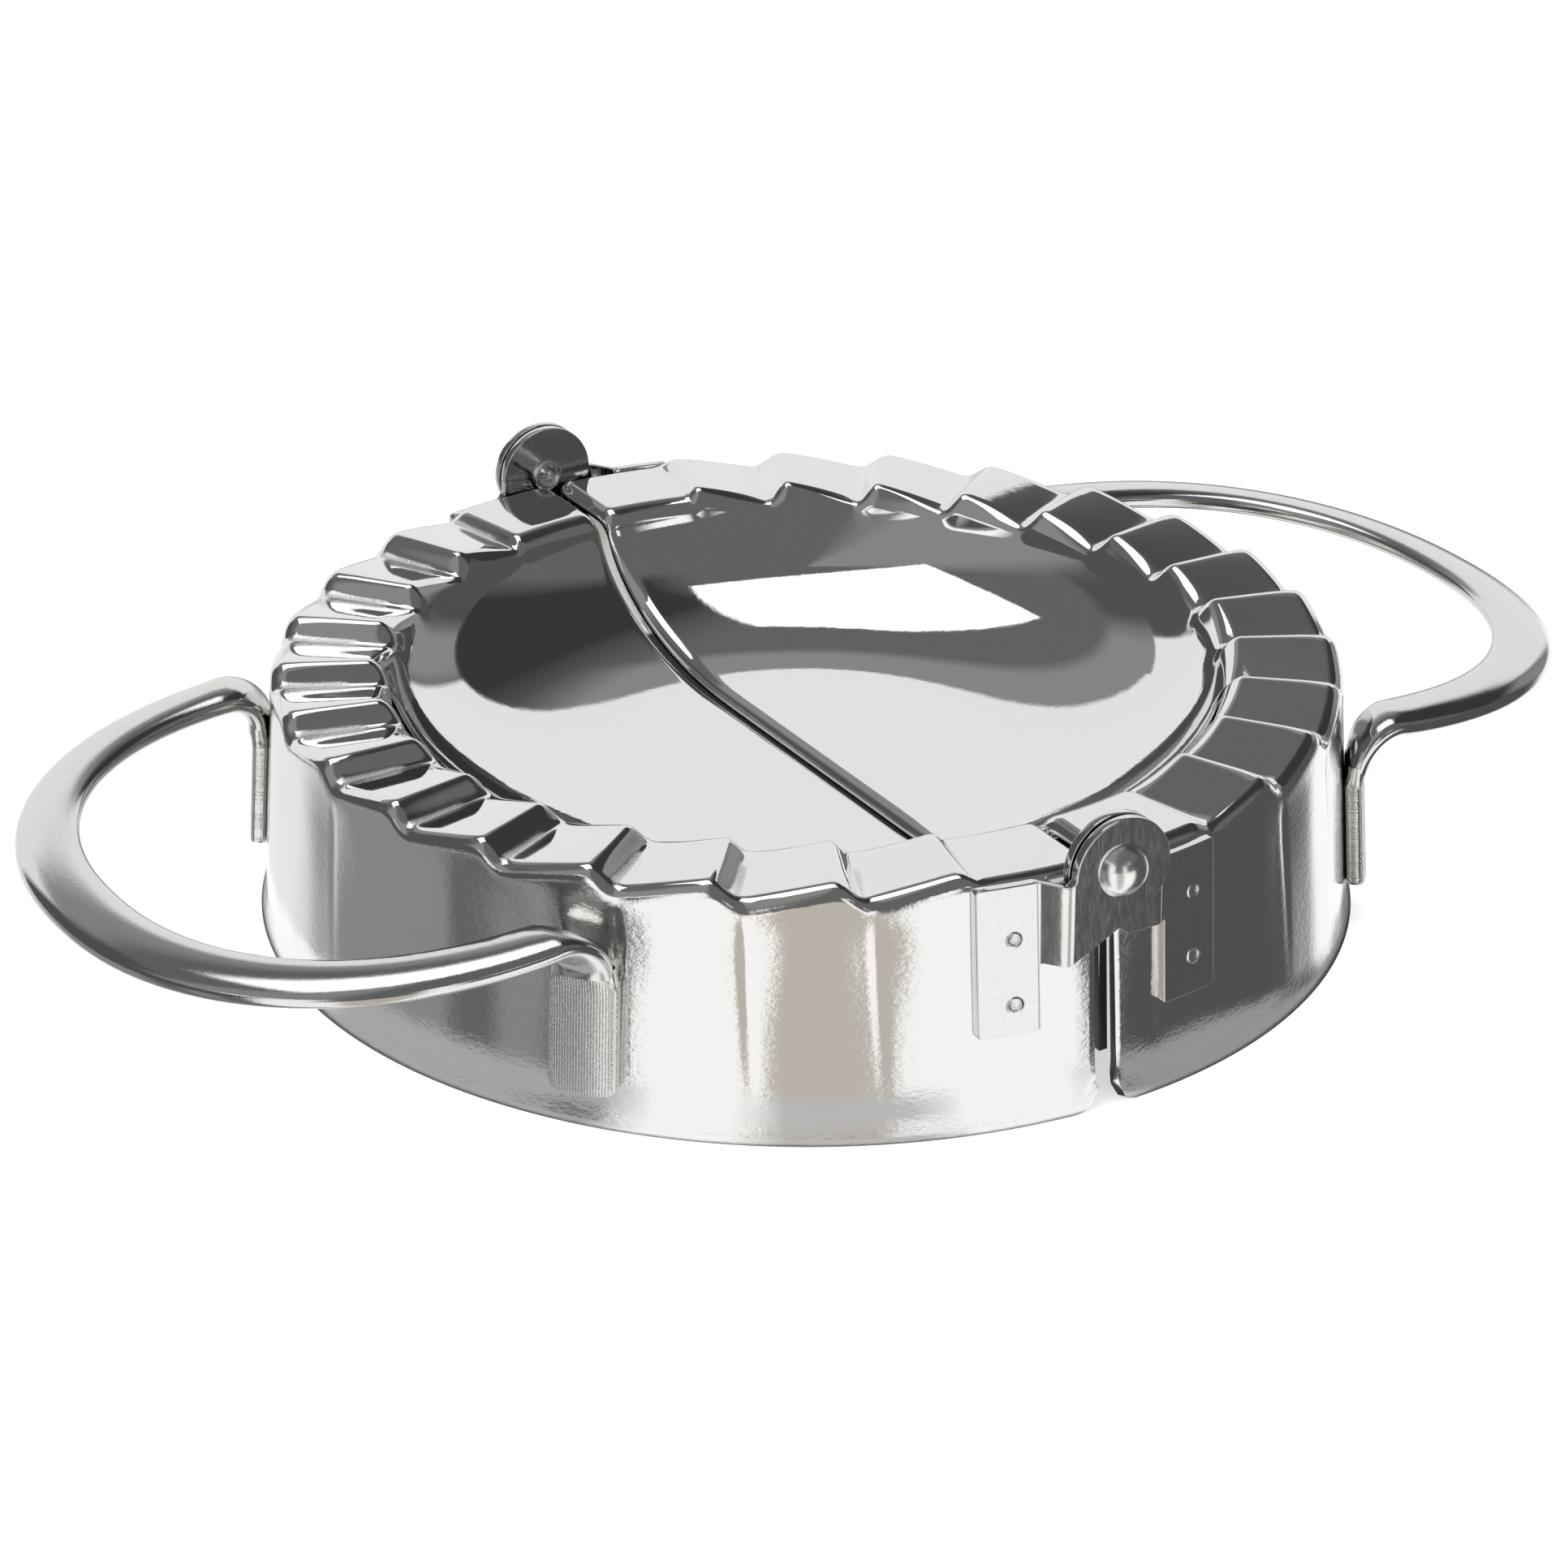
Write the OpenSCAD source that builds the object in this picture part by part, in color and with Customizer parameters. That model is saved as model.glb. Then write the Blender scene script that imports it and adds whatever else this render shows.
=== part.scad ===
// Empanada press of stainless sheet: two half shells with a crimped rim fold about a diameter
// on two riveted leaf hinges, and each half has a bent bar handle welded to its skirt.
// The hinge axis runs along Y, and the press stands open and flat on the plane z = 0.

/* [Shells] */
// Outer diameter of the open press
ring_d = 120; // [104:1:150]
// Height of the rim's middle surface above the table
rim_z = 28; // [25:0.5:34]
// Thickness of the drawn sheet
wall = 1; // [0.6:0.1:1.2]
// Radius of the rim's outer edge, where it turns down into the skirt
edge_r = 1.4; // [1.3:0.1:2.4]
// Width of the crimping band, from its inner end to the outer edge
band_w = 10.8; // [8:0.2:14]
// How far the skirt spreads outwards from its top to its bottom
skirt_draft = 1.6; // [0:0.1:3]
// Extra spread of the hem along the skirt's lower edge
hem_flare = 0.4; // [0:0.1:0.8]
// Height of the hem
hem_h = 3; // [3:0.1:5]

/* [Bowl] */
// Depth of the bowl below the rim's middle surface
bowl_depth = 12.4; // [9:0.2:15]
// Radius of the bowl's flat floor
floor_r = 20; // [14:1:26]
// Slope of the bowl's wall at its mouth, in degrees
mouth_slope = 66; // [58:1:74]
// Radius of the bowl's mouth, where it turns over onto the rim
mouth_r = 2; // [1.4:0.1:2.6]

/* [Crimp] */
// Whole teeth on each half
teeth = 12; // [8:1:14]
// Height of a tooth from valley to crest
tooth_h = 2; // [1.4:0.1:3]
// Share of a tooth's pitch that its steep face takes
steep = 0.24; // [0.2:0.01:0.32]
// Space left between the two rims when the press is shut
bite_gap = 1; // [0.9:0.1:1.6]
// Width over which the teeth fade out towards the bowl
fade_w = 3.5; // [2.5:0.1:5]

/* [Seam] */
// Gap between the two halves where they meet along the hinge axis
seam_gap = 1; // [0.8:0.1:1.6]
// Radius of the turned-down straight edge
seam_r = 1.6; // [1.3:0.1:2]
// Height of the straight wall's lower edge above the table
web_z = 4.5; // [3:0.5:8]
// Draft of the straight wall from top to bottom
web_draft = 0.8; // [0.4:0.1:1]
// Gap between the ends of the two skirts, at the top
skirt_gap = 2.4; // [2.2:0.1:4]
// How much each skirt's end falls back from the top to the bottom
end_draft = 0.2; // [0:0.1:0.6]
// Radius of the skirt's lower corners
corner_r = 2.4; // [1.5:0.1:2.8]

/* [Hinges] */
// Thickness of a hinge leaf
leaf_t = 1.1; // [0.8:0.1:1.4]
// Radius of the round lug
lug_r = 5.8; // [5:0.1:6.6]
// Clearance between a rivet's rolled end and the skirts
roll_clear = 0.4; // [0.35:0.05:0.8]
// Gap between the two lugs of a hinge
lug_gap = 0.4; // [0.3:0.05:0.8]
// Distance from the rim down to the top edge of the outer leaf's plate
outer_drop = 0.1; // [0:0.1:3]
// Distance from the rim down to the top edge of the inner leaf's plate
inner_drop = 1; // [0:0.1:3]
// Height of a leaf's plate
plate_h = 16.8; // [14:0.5:19]
// Width of the outer leaf's plate
outer_plate_w = 6.8; // [6:0.2:9]
// Width of the inner leaf's plate
inner_plate_w = 7.2; // [6:0.2:9]
// Depth below the rim that the outer leaf's neck reaches to
outer_neck_h = 9.2; // [8:0.2:11]
// Depth below the rim that the inner leaf's neck reaches to
inner_neck_h = 8; // [7:0.2:10]
// Width of the outer leaf's joggle
joggle_w = 2; // [1.6:0.1:2.6]
// Width of the inner leaf's joggle
inner_joggle_w = 1.2; // [1:0.1:2]
// Clearance between the outer leaf's joggle and the inner lug
joggle_clear = 0.6; // [0.4:0.1:1.2]
// Diameter of the rivet's shank
rivet_d = 3.2; // [2.6:0.1:3.8]
// Running clearance between the rivet and the turning leaf, on the radius
rivet_clear = 0.05; // [0.02:0.01:0.08]
// Diameter of the rivet's domed head
head_d = 6; // [5:0.1:7]
// Height of the rivet's domed head
head_h = 2.2; // [1.2:0.1:2.4]
// Play between the rivet's ends and the lug that turns
end_play = 0.15; // [0.1:0.05:0.25]
// Width of the rivet's rolled end past its shank
roll_w = 0.35; // [0.25:0.05:0.4]
// Wall of the rivet's tubular end
rivet_wall = 0.5; // [0.3:0.1:0.8]
// Depth of the hollow in the rivet's tubular end
hollow_h = 0.8; // [0.4:0.1:1.6]

/* [Handles] */
// Width of the flattened bar
bar_w = 7; // [6:0.1:9]
// Thickness of the flattened bar
bar_t = 2.8; // [2:0.1:3.4]
// Reach of a handle from the hinge axis to its outer edge
handle_reach = 92.5; // [84:0.5:104]
// Half of the spread between the middles of a handle's legs
leg_half_y = 36; // [30:0.5:40]
// How far the handles sit towards the front of the press
handle_front = 1.5; // [0:0.1:4]
// Height of the bar's middle above the table, over the bend
bar_z = 22.6; // [20:0.1:25]
// Drop of the bar from the bend to its outer end
bar_drop = 2.8; // [0:0.1:4]
// Bend radius of the bar's middle at the top of a leg
bend_r = 4.6; // [3:0.2:6]
// Squareness of the loop: 2 is an ellipse, more is squarer
loop_power = 2.2; // [2:0.1:3.2]
// Height of the leg's lower end above the table
leg_z = 4.5; // [3:0.5:8]
// Height of the pressed weld patch on a leg
patch_h = 12; // [9:0.5:14]
// Width of the pressed weld patch
patch_w = 7.8; // [6.5:0.1:9.5]
// Thickness of the pressed weld patch
patch_t = 2.2; // [1.6:0.1:2.6]
// Height of the step from the patch up to the plain bar
patch_step = 0.8; // [0.5:0.1:1.4]

/* [Hidden] */
$fn = 96;

ring_r = ring_d / 2;
axis_z = rim_z + bite_gap / 2;
seam_x = seam_gap / 2;
edge_x = seam_x + seam_r;
skirt_x = skirt_gap / 2;
foot_x = skirt_x + end_draft;

// The rim's outer edge ends in the skirt's slope. The skirt is a cone, and its hem a wider one.
draft_a = atan(skirt_draft / (rim_z - edge_r));
skirt_lean = 90 - draft_a;
skirt_top_r = ring_r - edge_r * (1 - sin(skirt_lean));
skirt_top_z = rim_z - edge_r * (1 - cos(skirt_lean));
function skirt_r(z) = skirt_top_r + tan(draft_a) * (skirt_top_z - z);
low_r = skirt_r(0) + hem_flare;
hem_slope = (low_r - skirt_r(hem_h)) / hem_h;
hem_x = skirt_x + end_draft * (1 - hem_h / skirt_top_z);

// The bowl's wall is a piece of an ellipse, level at the floor and at mouth_slope at its top.
band_r = ring_r - band_w;
wall_top_r = band_r - mouth_r * sin(mouth_slope);
wall_top_z = rim_z - mouth_r * (1 - cos(mouth_slope));
floor_z = rim_z - bowl_depth;
wall_run = wall_top_r - floor_r;
wall_rise = wall_top_z - floor_z;
wall_turn = acos(1 / (tan(mouth_slope) * wall_run / wall_rise - 1));
wall_a = wall_run / sin(wall_turn);
wall_b = wall_rise / (1 - cos(wall_turn));

// A tooth runs from the middle of one steep face to the middle of the next.
pitch = 180 / (teeth + 2);
rise_steps = [0.28, 0.55, 0.78, 0.93, 1];
function rise(s) = 2 * (0.6 * s + 0.4 * sin(90 * s)) - 1;
tooth = concat([[0, 0], [steep / 2, -1]],
    [for (s = rise_steps) [steep / 2 + s * (1 - steep), rise(s)]]);

// Stations round the skirt, as [angle from the half's middle, tooth height from -1 to 1].
skirt_turn = acos(skirt_x / ring_r);
teeth_turn = teeth / 2 * pitch;
flat_turn = skirt_turn - corner_r / ring_r * 180 / PI - teeth_turn;
corner_steps = [0, 0.15, 0.45, 1];
flat_steps = [1 / 3, 2 / 3];
end_turns = concat(
    [for (s = corner_steps) skirt_turn - s * corner_r / ring_r * 180 / PI],
    [for (s = flat_steps) teeth_turn + flat_turn * (1 - s)]);
last_end = len(end_turns) - 1;
stations = concat(
    [for (a = end_turns) [-a, 0]],
    [for (n = [0 : teeth - 1], t = tooth) [(n + t[0]) * pitch - teeth_turn, t[1]]],
    [[teeth_turn, 0]],
    [for (k = [last_end : -1 : 0]) [end_turns[k], 0]]);
last = len(stations) - 1;

// The bowl takes every fourth station, and the crimped rim takes them all.
coarse_step = 4;
coarse = [for (j = [0 : coarse_step : last]) j];
last_c = len(coarse) - 1;

// Profile rows from the middle outwards: [radius, height, lean of the surface, tooth share, end x].
// The lean is 0 where the surface faces up, 90 where it faces out, and below 0 where it faces in.
floor_steps = [0.4, 0.7, 1];
wall_steps = [0.17, 0.33, 0.5, 0.66, 0.82, 1];
mouth_steps = [0.62, 0.28, 0];
fade_steps = [0.62, 1];
fade_r = band_r - mouth_r * sin(mouth_slope * mouth_steps[0]);
bowl_rows = concat(
    [for (s = floor_steps) [floor_r * s, floor_z, 0, 0, edge_x]],
    [for (s = wall_steps)
        let (b = wall_turn * s)
        [floor_r + wall_a * sin(b), floor_z + wall_b * (1 - cos(b)),
            -atan2(wall_b * sin(b), wall_a * cos(b)), 0, edge_x]],
    [mouth_row(mouth_steps[0])]);
function tooth_share(r) =
    let (u = min(1, (r - fade_r) / fade_w))
    u * u * (3 - 2 * u);
function mouth_row(s) =
    let (a = mouth_slope * s, r = band_r - mouth_r * sin(a))
    [r, rim_z - mouth_r * (1 - cos(a)), -a, tooth_share(r), edge_x];
function band_row(r) = [r, rim_z, 0, tooth_share(r), edge_x];
function edge_row(a, x) =
    [ring_r - edge_r * (1 - sin(a)), rim_z - edge_r * (1 - cos(a)), a, 1, x];
rim_rows = [
    mouth_row(mouth_steps[1]),
    mouth_row(mouth_steps[2]),
    band_row(fade_r + fade_w * fade_steps[0]),
    band_row(fade_r + fade_w * fade_steps[1]),
    edge_row(0, edge_x),
    edge_row(skirt_lean / 3, (2 * edge_x + skirt_x) / 3),
    edge_row(skirt_lean * 2 / 3, (edge_x + 2 * skirt_x) / 3),
    edge_row(skirt_lean, skirt_x),
    [skirt_r(hem_h), hem_h, skirt_lean, 0, hem_x],
    [low_r, 0, 90, 0, foot_x]];
bowl_n = len(bowl_rows);
rim_n = len(rim_rows);
// Rim rows up to the outer edge's start carry the turned-down straight edge.
seam_n = 5;

// Height of the skirt's lower edge at station j, with its rounded corner.
function corner_z(j) =
    let (s = min(corner_r, (skirt_turn - abs(stations[j][0])) * PI / 180 * ring_r))
    corner_r - sqrt(max(0, corner_r * corner_r - pow(corner_r - s, 2)));
// Point of row p at station j, at depth d below the upper surface. A point that a tooth or a
// corner lifts moves up along the skirt's slope.
function sheet_point(p, j, d) =
    let (lift = p[3] * stations[j][1] * tooth_h / 2,
        up = p[1] == 0 ? corner_z(j) : 0,
        back = lift * max(0, p[2]) / skirt_lean * tan(draft_a) + up * hem_slope,
        r = p[0] - d * sin(p[2]) - back,
        a = stations[j][0] * acos(p[4] / r) / skirt_turn)
    [r * cos(a), r * sin(a), p[1] - d * cos(p[2]) + lift + up];

// Rows of the straight edge that turns down along the seam, and of the straight wall under it.
turn_steps = [30, 60, 90];
turn_n = len(turn_steps) + 1;
side_n = bowl_n + seam_n;
// Row and side of point s along the straight edge, counted from one end over the middle.
function edge_base(s, d) =
    s == side_n ? [edge_x, 0, floor_z - d] :
    let (k = side_n - 1 - (s < side_n ? s : 2 * side_n - s), j = s < side_n ? 0 : last)
    sheet_point(k < bowl_n ? bowl_rows[k] : rim_rows[k - bowl_n], j, d);
function turned_point(s, m, d) =
    let (b = edge_base(s, d), r = seam_r - d)
    m == turn_n ? [seam_x + d + web_draft, b[1], web_z] :
    [edge_x - r * sin(turn_steps[m - 1]), b[1], b[2] - r * (1 - cos(turn_steps[m - 1]))];

function skin(d) = concat(
    [[edge_x, 0, floor_z - d]],
    [for (p = bowl_rows, j = coarse) sheet_point(p, j, d)],
    [for (p = rim_rows, j = [0 : last]) sheet_point(p, j, d)],
    [for (m = [1 : turn_n], s = [0 : 2 * side_n]) turned_point(s, m, d)]);

// Numbers of the points in one skin.
bowl_0 = 1;
rim_0 = bowl_0 + bowl_n * (last_c + 1);
turn_0 = rim_0 + rim_n * (last + 1);
skin_n = turn_0 + turn_n * (2 * side_n + 1);
function bowl_i(k, q) = bowl_0 + k * (last_c + 1) + q;
function rim_i(k, j) = rim_0 + k * (last + 1) + j;
function edge_i(s) =
    s == side_n ? 0 :
    let (k = side_n - 1 - (s < side_n ? s : 2 * side_n - s), far = s > side_n)
    k < bowl_n ? bowl_i(k, far ? last_c : 0) : rim_i(k - bowl_n, far ? last : 0);
function turn_i(s, m) = m == 0 ? edge_i(s) : turn_0 + (m - 1) * (2 * side_n + 1) + s;
function quad(a, b, c, d) = [[a, b, c], [a, c, d]];

upper_faces = concat(
    [for (q = [0 : last_c - 1]) [0, bowl_i(0, q + 1), bowl_i(0, q)]],
    [for (k = [0 : bowl_n - 2], q = [0 : last_c - 1])
        each quad(bowl_i(k, q), bowl_i(k, q + 1), bowl_i(k + 1, q + 1), bowl_i(k + 1, q))],
    [for (q = [0 : last_c - 1])
        [bowl_i(bowl_n - 1, q), bowl_i(bowl_n - 1, q + 1), rim_i(0, (q + 1) * coarse_step - 2)]],
    [for (q = [0 : last_c - 1], k = [0, 1])
        [bowl_i(bowl_n - 1, q), rim_i(0, q * coarse_step + k + 1), rim_i(0, q * coarse_step + k)]],
    [for (q = [0 : last_c - 1], k = [2, 3])
        [bowl_i(bowl_n - 1, q + 1), rim_i(0, q * coarse_step + k + 1), rim_i(0, q * coarse_step + k)]],
    [for (k = [0 : rim_n - 2], j = [0 : last - 1])
        each quad(rim_i(k, j), rim_i(k, j + 1), rim_i(k + 1, j + 1), rim_i(k + 1, j))],
    [for (m = [0 : turn_n - 1], s = [0 : 2 * side_n - 1])
        each quad(turn_i(s, m), turn_i(s, m + 1), turn_i(s + 1, m + 1), turn_i(s + 1, m))]);
// The free edges of the sheet, each from one skin to the other.
rim_edges = concat(
    [for (j = [0 : last - 1]) [rim_i(rim_n - 1, j), rim_i(rim_n - 1, j + 1)]],
    [for (k = [seam_n - 1 : rim_n - 2]) [rim_i(k, 0), rim_i(k + 1, 0)]],
    [for (k = [seam_n - 1 : rim_n - 2]) [rim_i(k + 1, last), rim_i(k, last)]],
    [for (m = [0 : turn_n - 1]) [turn_i(0, m + 1), turn_i(0, m)]],
    [for (m = [0 : turn_n - 1]) [turn_i(2 * side_n, m), turn_i(2 * side_n, m + 1)]],
    [for (s = [0 : 2 * side_n - 1]) [turn_i(s + 1, turn_n), turn_i(s, turn_n)]]);
shell_faces = concat(
    upper_faces,
    [for (f = upper_faces) [f[2] + skin_n, f[1] + skin_n, f[0] + skin_n]],
    [for (e = rim_edges) each quad(e[0], e[1], e[1] + skin_n, e[0] + skin_n)]);

// Half shell on the +X side: bowl, crimped rim, skirt and straight wall, drawn from one sheet.
module shell() {
    polyhedron(points = concat(skin(0), skin(wall)), faces = shell_faces, convexity = 8);
}

// Levels of the hinge sheets, measured outwards from the ring's middle along Y.
roll_seat = 0.1;
inner_lug_y = skirt_r(axis_z - rivet_d / 2 - roll_w) + roll_clear + roll_w + roll_seat + end_play;
outer_lug_y = inner_lug_y + leaf_t + lug_gap;
neck_x = lug_r + joggle_clear;
// The neck's outline laps onto the plate's by this much, so that the two join.
lap = 0.01;

// Point where a line from p touches the lug's circle, on its left (side 1) or right (side -1).
function touch(p, side) =
    let (v = [-p[0], axis_z - p[1]], a = atan2(v[1], v[0]) + side * asin(lug_r / norm(v)))
    [side * lug_r * -sin(a), axis_z + side * lug_r * cos(a)];

// Plate of a hinge leaf from x0 outwards: sheet that follows the skirt down from top_z.
module plate(x0, width, top_z) {
    intersection() {
        rotate_extrude() polygon([
            for (q = [[0, -plate_h], [leaf_t, -plate_h], [leaf_t, 0], [0, 0]])
                [skirt_r(top_z + q[1]) + q[0], top_z + q[1]]]);
        upright(ring_r * 2) translate([-x0 - width, top_z - plate_h]) square([width, plate_h]);
    }
}

// Sheet bent in plan: a joggle that leaves the plate at x0, and from x2 a flat lug at level y.
// The joggle starts at the skirt's radius at the neck's lower edge, so it is clear of the skirt.
module leaf_plan(x0, x2, y, neck_z) {
    r = skirt_r(neck_z);
    polygon([[-x0 - lap, -on_ring(r, x0)], [-x0 - lap, -on_ring(r + leaf_t, x0)],
        [-x2, -y - leaf_t], [-x2, -y]]);
    translate([-x2, -y - leaf_t]) square([x2 + lug_r, leaf_t]);
}
function on_ring(r, x) = sqrt(r * r - x * x);

module upright(depth) {
    rotate([90, 0, 0]) linear_extrude(height = depth) children();
}

module lug_bore(d) {
    translate([0, 0, axis_z]) rotate([90, 0, 0]) cylinder(d = d, h = ring_r * 2);
}

// Hinge leaf whose lug lies outside the other one, drawn on the -X half at the front.
module outer_leaf(bore) {
    x0 = neck_x + joggle_w;
    top_z = rim_z - outer_drop;
    neck_z = rim_z - outer_neck_h;
    low = [-neck_x, neck_z];
    difference() {
        union() {
            plate(x0, outer_plate_w, top_z);
            intersection() {
                linear_extrude(height = rim_z * 2) leaf_plan(x0, neck_x, outer_lug_y, neck_z);
                upright(ring_r * 2) {
                    translate([-x0 - lap, neck_z]) square([joggle_w + 2 * lap, top_z - neck_z]);
                    polygon([low, touch(low, -1), [0, axis_z], [-lug_r, axis_z], [-neck_x, top_z]]);
                    translate([0, axis_z]) circle(r = lug_r);
                }
            }
        }
        lug_bore(bore);
    }
}

// Hinge leaf whose lug lies against the shells, drawn on the -X half at the front.
module inner_leaf(bore) {
    x0 = lug_r + inner_joggle_w;
    top_z = rim_z - inner_drop;
    neck_z = rim_z - inner_neck_h;
    low = [-lug_r / 3, neck_z];
    difference() {
        union() {
            plate(x0, inner_plate_w, top_z);
            intersection() {
                linear_extrude(height = rim_z * 2) leaf_plan(x0, lug_r, inner_lug_y, neck_z);
                upright(ring_r * 2) {
                    polygon([[-x0 - lap, neck_z], low, touch(low, -1), [0, axis_z],
                        [-lug_r, axis_z], [-lug_r, top_z], [-x0 - lap, top_z]]);
                    translate([0, axis_z]) circle(r = lug_r);
                }
            }
        }
        lug_bore(bore);
    }
}

// Tubular rivet along the hinge axis: domed head outside, rolled end inside, closed between.
// The fixed lug grips the shank, and the other one turns on it with play at its face.
module rivet(head_play, roll_play) {
    shank_r = rivet_d / 2;
    head_y = outer_lug_y + leaf_t + head_play;
    roll_y = inner_lug_y - roll_play;
    dome_r = (pow(head_d / 2, 2) + head_h * head_h) / (2 * head_h);
    translate([0, 0, axis_z]) rotate([90, 0, 0]) {
        intersection() {
            translate([0, 0, head_y + head_h - dome_r]) sphere(r = dome_r);
            translate([0, 0, head_y]) cylinder(r = dome_r, h = head_h);
        }
        difference() {
            translate([0, 0, roll_y - roll_seat]) cylinder(r = shank_r, h = head_y - roll_y + 2 * roll_seat);
            translate([0, 0, roll_y - 2 * roll_seat]) cylinder(r = shank_r - rivet_wall, h = hollow_h);
        }
        rotate_extrude() translate([shank_r, roll_y - roll_seat]) intersection() {
            circle(r = roll_w, $fn = 48);
            translate([-roll_w, -roll_w]) square([2 * roll_w, roll_w + roll_seat]);
        }
    }
}

// The handle's bar is swept along its middle line, from the foot of one leg to the other.
bend_z = bar_z - bend_r;
leg_r = skirt_r(bend_z) + bar_t / 2;
function spow(v, p) = sign(v) * pow(abs(v), p);

// Sections as [middle, direction of the width, direction of the thickness, width, thickness].
leg_levels = [0, 0.06, 0.5, 0.94, 1];
foot_share = 0.8;
function leg_section(z, turn, side, w, t) =
    let (r = skirt_r(z) + t / 2)
    [[r * cos(turn), r * sin(turn), z],
        side * [-sin(turn), cos(turn), 0], [cos(turn), sin(turn), 0], w, t];
bend_steps = 5;
function bend_section(a, leg_y, turn, side) =
    let (twist = turn * (1 - a / 90), c = cos(a), s = sin(a))
    [[leg_r * cos(turn) + bend_r * (1 - c), leg_y, bend_z + bend_r * s],
        side * [-sin(twist) * c, cos(twist), sin(twist) * s],
        [c * cos(twist), sin(twist), -s], bar_w, bar_t];
loop_steps = 12;
function loop_section(a, loop_x, side) =
    let (p = 2 / loop_power, length = handle_reach - bar_w / 2 - loop_x,
        nx = pow(cos(a), 2 - p) / length, ny = pow(sin(a), 2 - p) / leg_half_y, n = norm([nx, ny]),
        run = spow(cos(a), p))
    [[loop_x + length * run, side * leg_half_y * spow(sin(a), p) - handle_front,
            bar_z - bar_drop * run],
        [nx / n, side * ny / n, -bar_drop / length * nx / n], [0, 0, -1], bar_w, bar_t];
// Sections from the foot of the leg on one side (1 back, -1 front) to the loop's outer end.
function half_sections(side) =
    let (leg_y = side * leg_half_y - handle_front, turn = asin(leg_y / leg_r),
        loop_x = leg_r * cos(turn) + bend_r)
    concat(
        [for (s = leg_levels)
            leg_section(leg_z + patch_h * s, turn, side, patch_w * (s == 0 ? foot_share : 1), patch_t)],
        [leg_section(leg_z + patch_h + patch_step, turn, side, bar_w, bar_t)],
        [for (k = [0 : bend_steps - 1]) bend_section(90 * k / bend_steps, leg_y, turn, side)],
        [for (k = [0 : loop_steps]) loop_section(90 * (1 - k / loop_steps), loop_x, side)]);
back_sections = half_sections(1);
front_sections = half_sections(-1);
sections = concat(back_sections,
    [for (k = [len(front_sections) - 2 : -1 : 0]) front_sections[k]]);
section_n = len(sections);
side_count = 12;
section_power = 0.62;
bar_points = [for (q = sections, k = [0 : side_count - 1])
    let (a = 360 * (k + 0.5) / side_count)
    q[0] + q[1] * spow(cos(a), section_power) * q[3] / 2
        + q[2] * spow(sin(a), section_power) * q[4] / 2];
bar_faces = concat(
    [[for (k = [side_count - 1 : -1 : 0]) k]],
    [for (i = [0 : section_n - 2], k = [0 : side_count - 1])
        let (a = i * side_count, b = a + side_count, n = (k + 1) % side_count)
        each quad(a + n, b + n, b + k, a + k)],
    [[for (k = [0 : side_count - 1]) (section_n - 1) * side_count + k]]);

// Handle on the +X half.
module handle() {
    polyhedron(points = bar_points, faces = bar_faces, convexity = 6);
}

module left_shell() { color("gainsboro") rotate([0, 0, 180]) shell(); }
module right_shell() { color("gainsboro") shell(); }
module left_handle() { color("silver") mirror([1, 0, 0]) handle(); }
module right_handle() { color("silver") handle(); }

// The rivets stay with the left half, so its lugs grip them and the right half's lugs turn.
grip_d = rivet_d;
turn_d = rivet_d + 2 * rivet_clear;
module front_outer_leaf() { color("darkgray") outer_leaf(grip_d); }
module back_inner_leaf() { color("darkgray") mirror([0, 1, 0]) inner_leaf(grip_d); }
module front_inner_leaf() { color("darkgray") mirror([1, 0, 0]) inner_leaf(turn_d); }
module back_outer_leaf() { color("darkgray") rotate([0, 0, 180]) outer_leaf(turn_d); }
module front_rivet() { color("lightgray") rivet(0, end_play); }
module back_rivet() { color("lightgray") rotate([0, 0, 180]) rivet(end_play, 0); }

left_shell();
right_shell();
left_handle();
right_handle();
front_outer_leaf();
front_inner_leaf();
back_outer_leaf();
back_inner_leaf();
front_rivet();
back_rivet();
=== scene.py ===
# %% [markdown]
# # An empanada press in polished sheet steel
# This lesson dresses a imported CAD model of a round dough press. Two half dishes with a toothed,
# crimping rim fold about a hinge line, and each has a handle of flattened bar welded to its
# skirt. The CAD model is exact but faceted, and mirror steel shows every facet. So each part is
# made again here, in the same place and at the same size, from finer and softer surfaces.

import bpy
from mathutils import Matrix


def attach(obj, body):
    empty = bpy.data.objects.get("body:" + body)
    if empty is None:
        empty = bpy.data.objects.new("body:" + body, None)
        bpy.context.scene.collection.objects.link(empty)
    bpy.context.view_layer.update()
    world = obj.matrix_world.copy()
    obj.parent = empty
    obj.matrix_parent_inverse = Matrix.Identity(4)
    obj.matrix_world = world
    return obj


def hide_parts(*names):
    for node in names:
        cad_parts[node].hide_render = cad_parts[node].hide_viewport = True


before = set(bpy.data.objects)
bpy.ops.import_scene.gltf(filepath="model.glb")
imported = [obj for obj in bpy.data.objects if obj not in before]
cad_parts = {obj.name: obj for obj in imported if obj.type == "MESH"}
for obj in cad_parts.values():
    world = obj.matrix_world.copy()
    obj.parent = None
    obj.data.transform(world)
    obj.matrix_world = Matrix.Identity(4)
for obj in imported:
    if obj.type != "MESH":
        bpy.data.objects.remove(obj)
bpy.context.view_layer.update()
print("parts in the frame:", sorted(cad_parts))

# %% Tools of the workshop
import math

import bpy
import bmesh
import numpy as np
from mathutils import Vector

MM = 0.001
print("one millimetre is", MM, "of Blender's units")

# %% [markdown]
# Blender's operators act on everything that is selected, and the frame arrives selected. So each
# piece starts by clearing the selection. A few small helpers keep that in one place, and the last
# one gives every finished piece its smooth shading and its body, and hides the CAD part it replaces.

# %% Helpers for selecting, editing and finishing
def clear_selection():
    if bpy.context.object and bpy.context.object.mode != "OBJECT":
        bpy.ops.object.mode_set(mode="OBJECT")
    bpy.ops.object.select_all(action="DESELECT")


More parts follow.
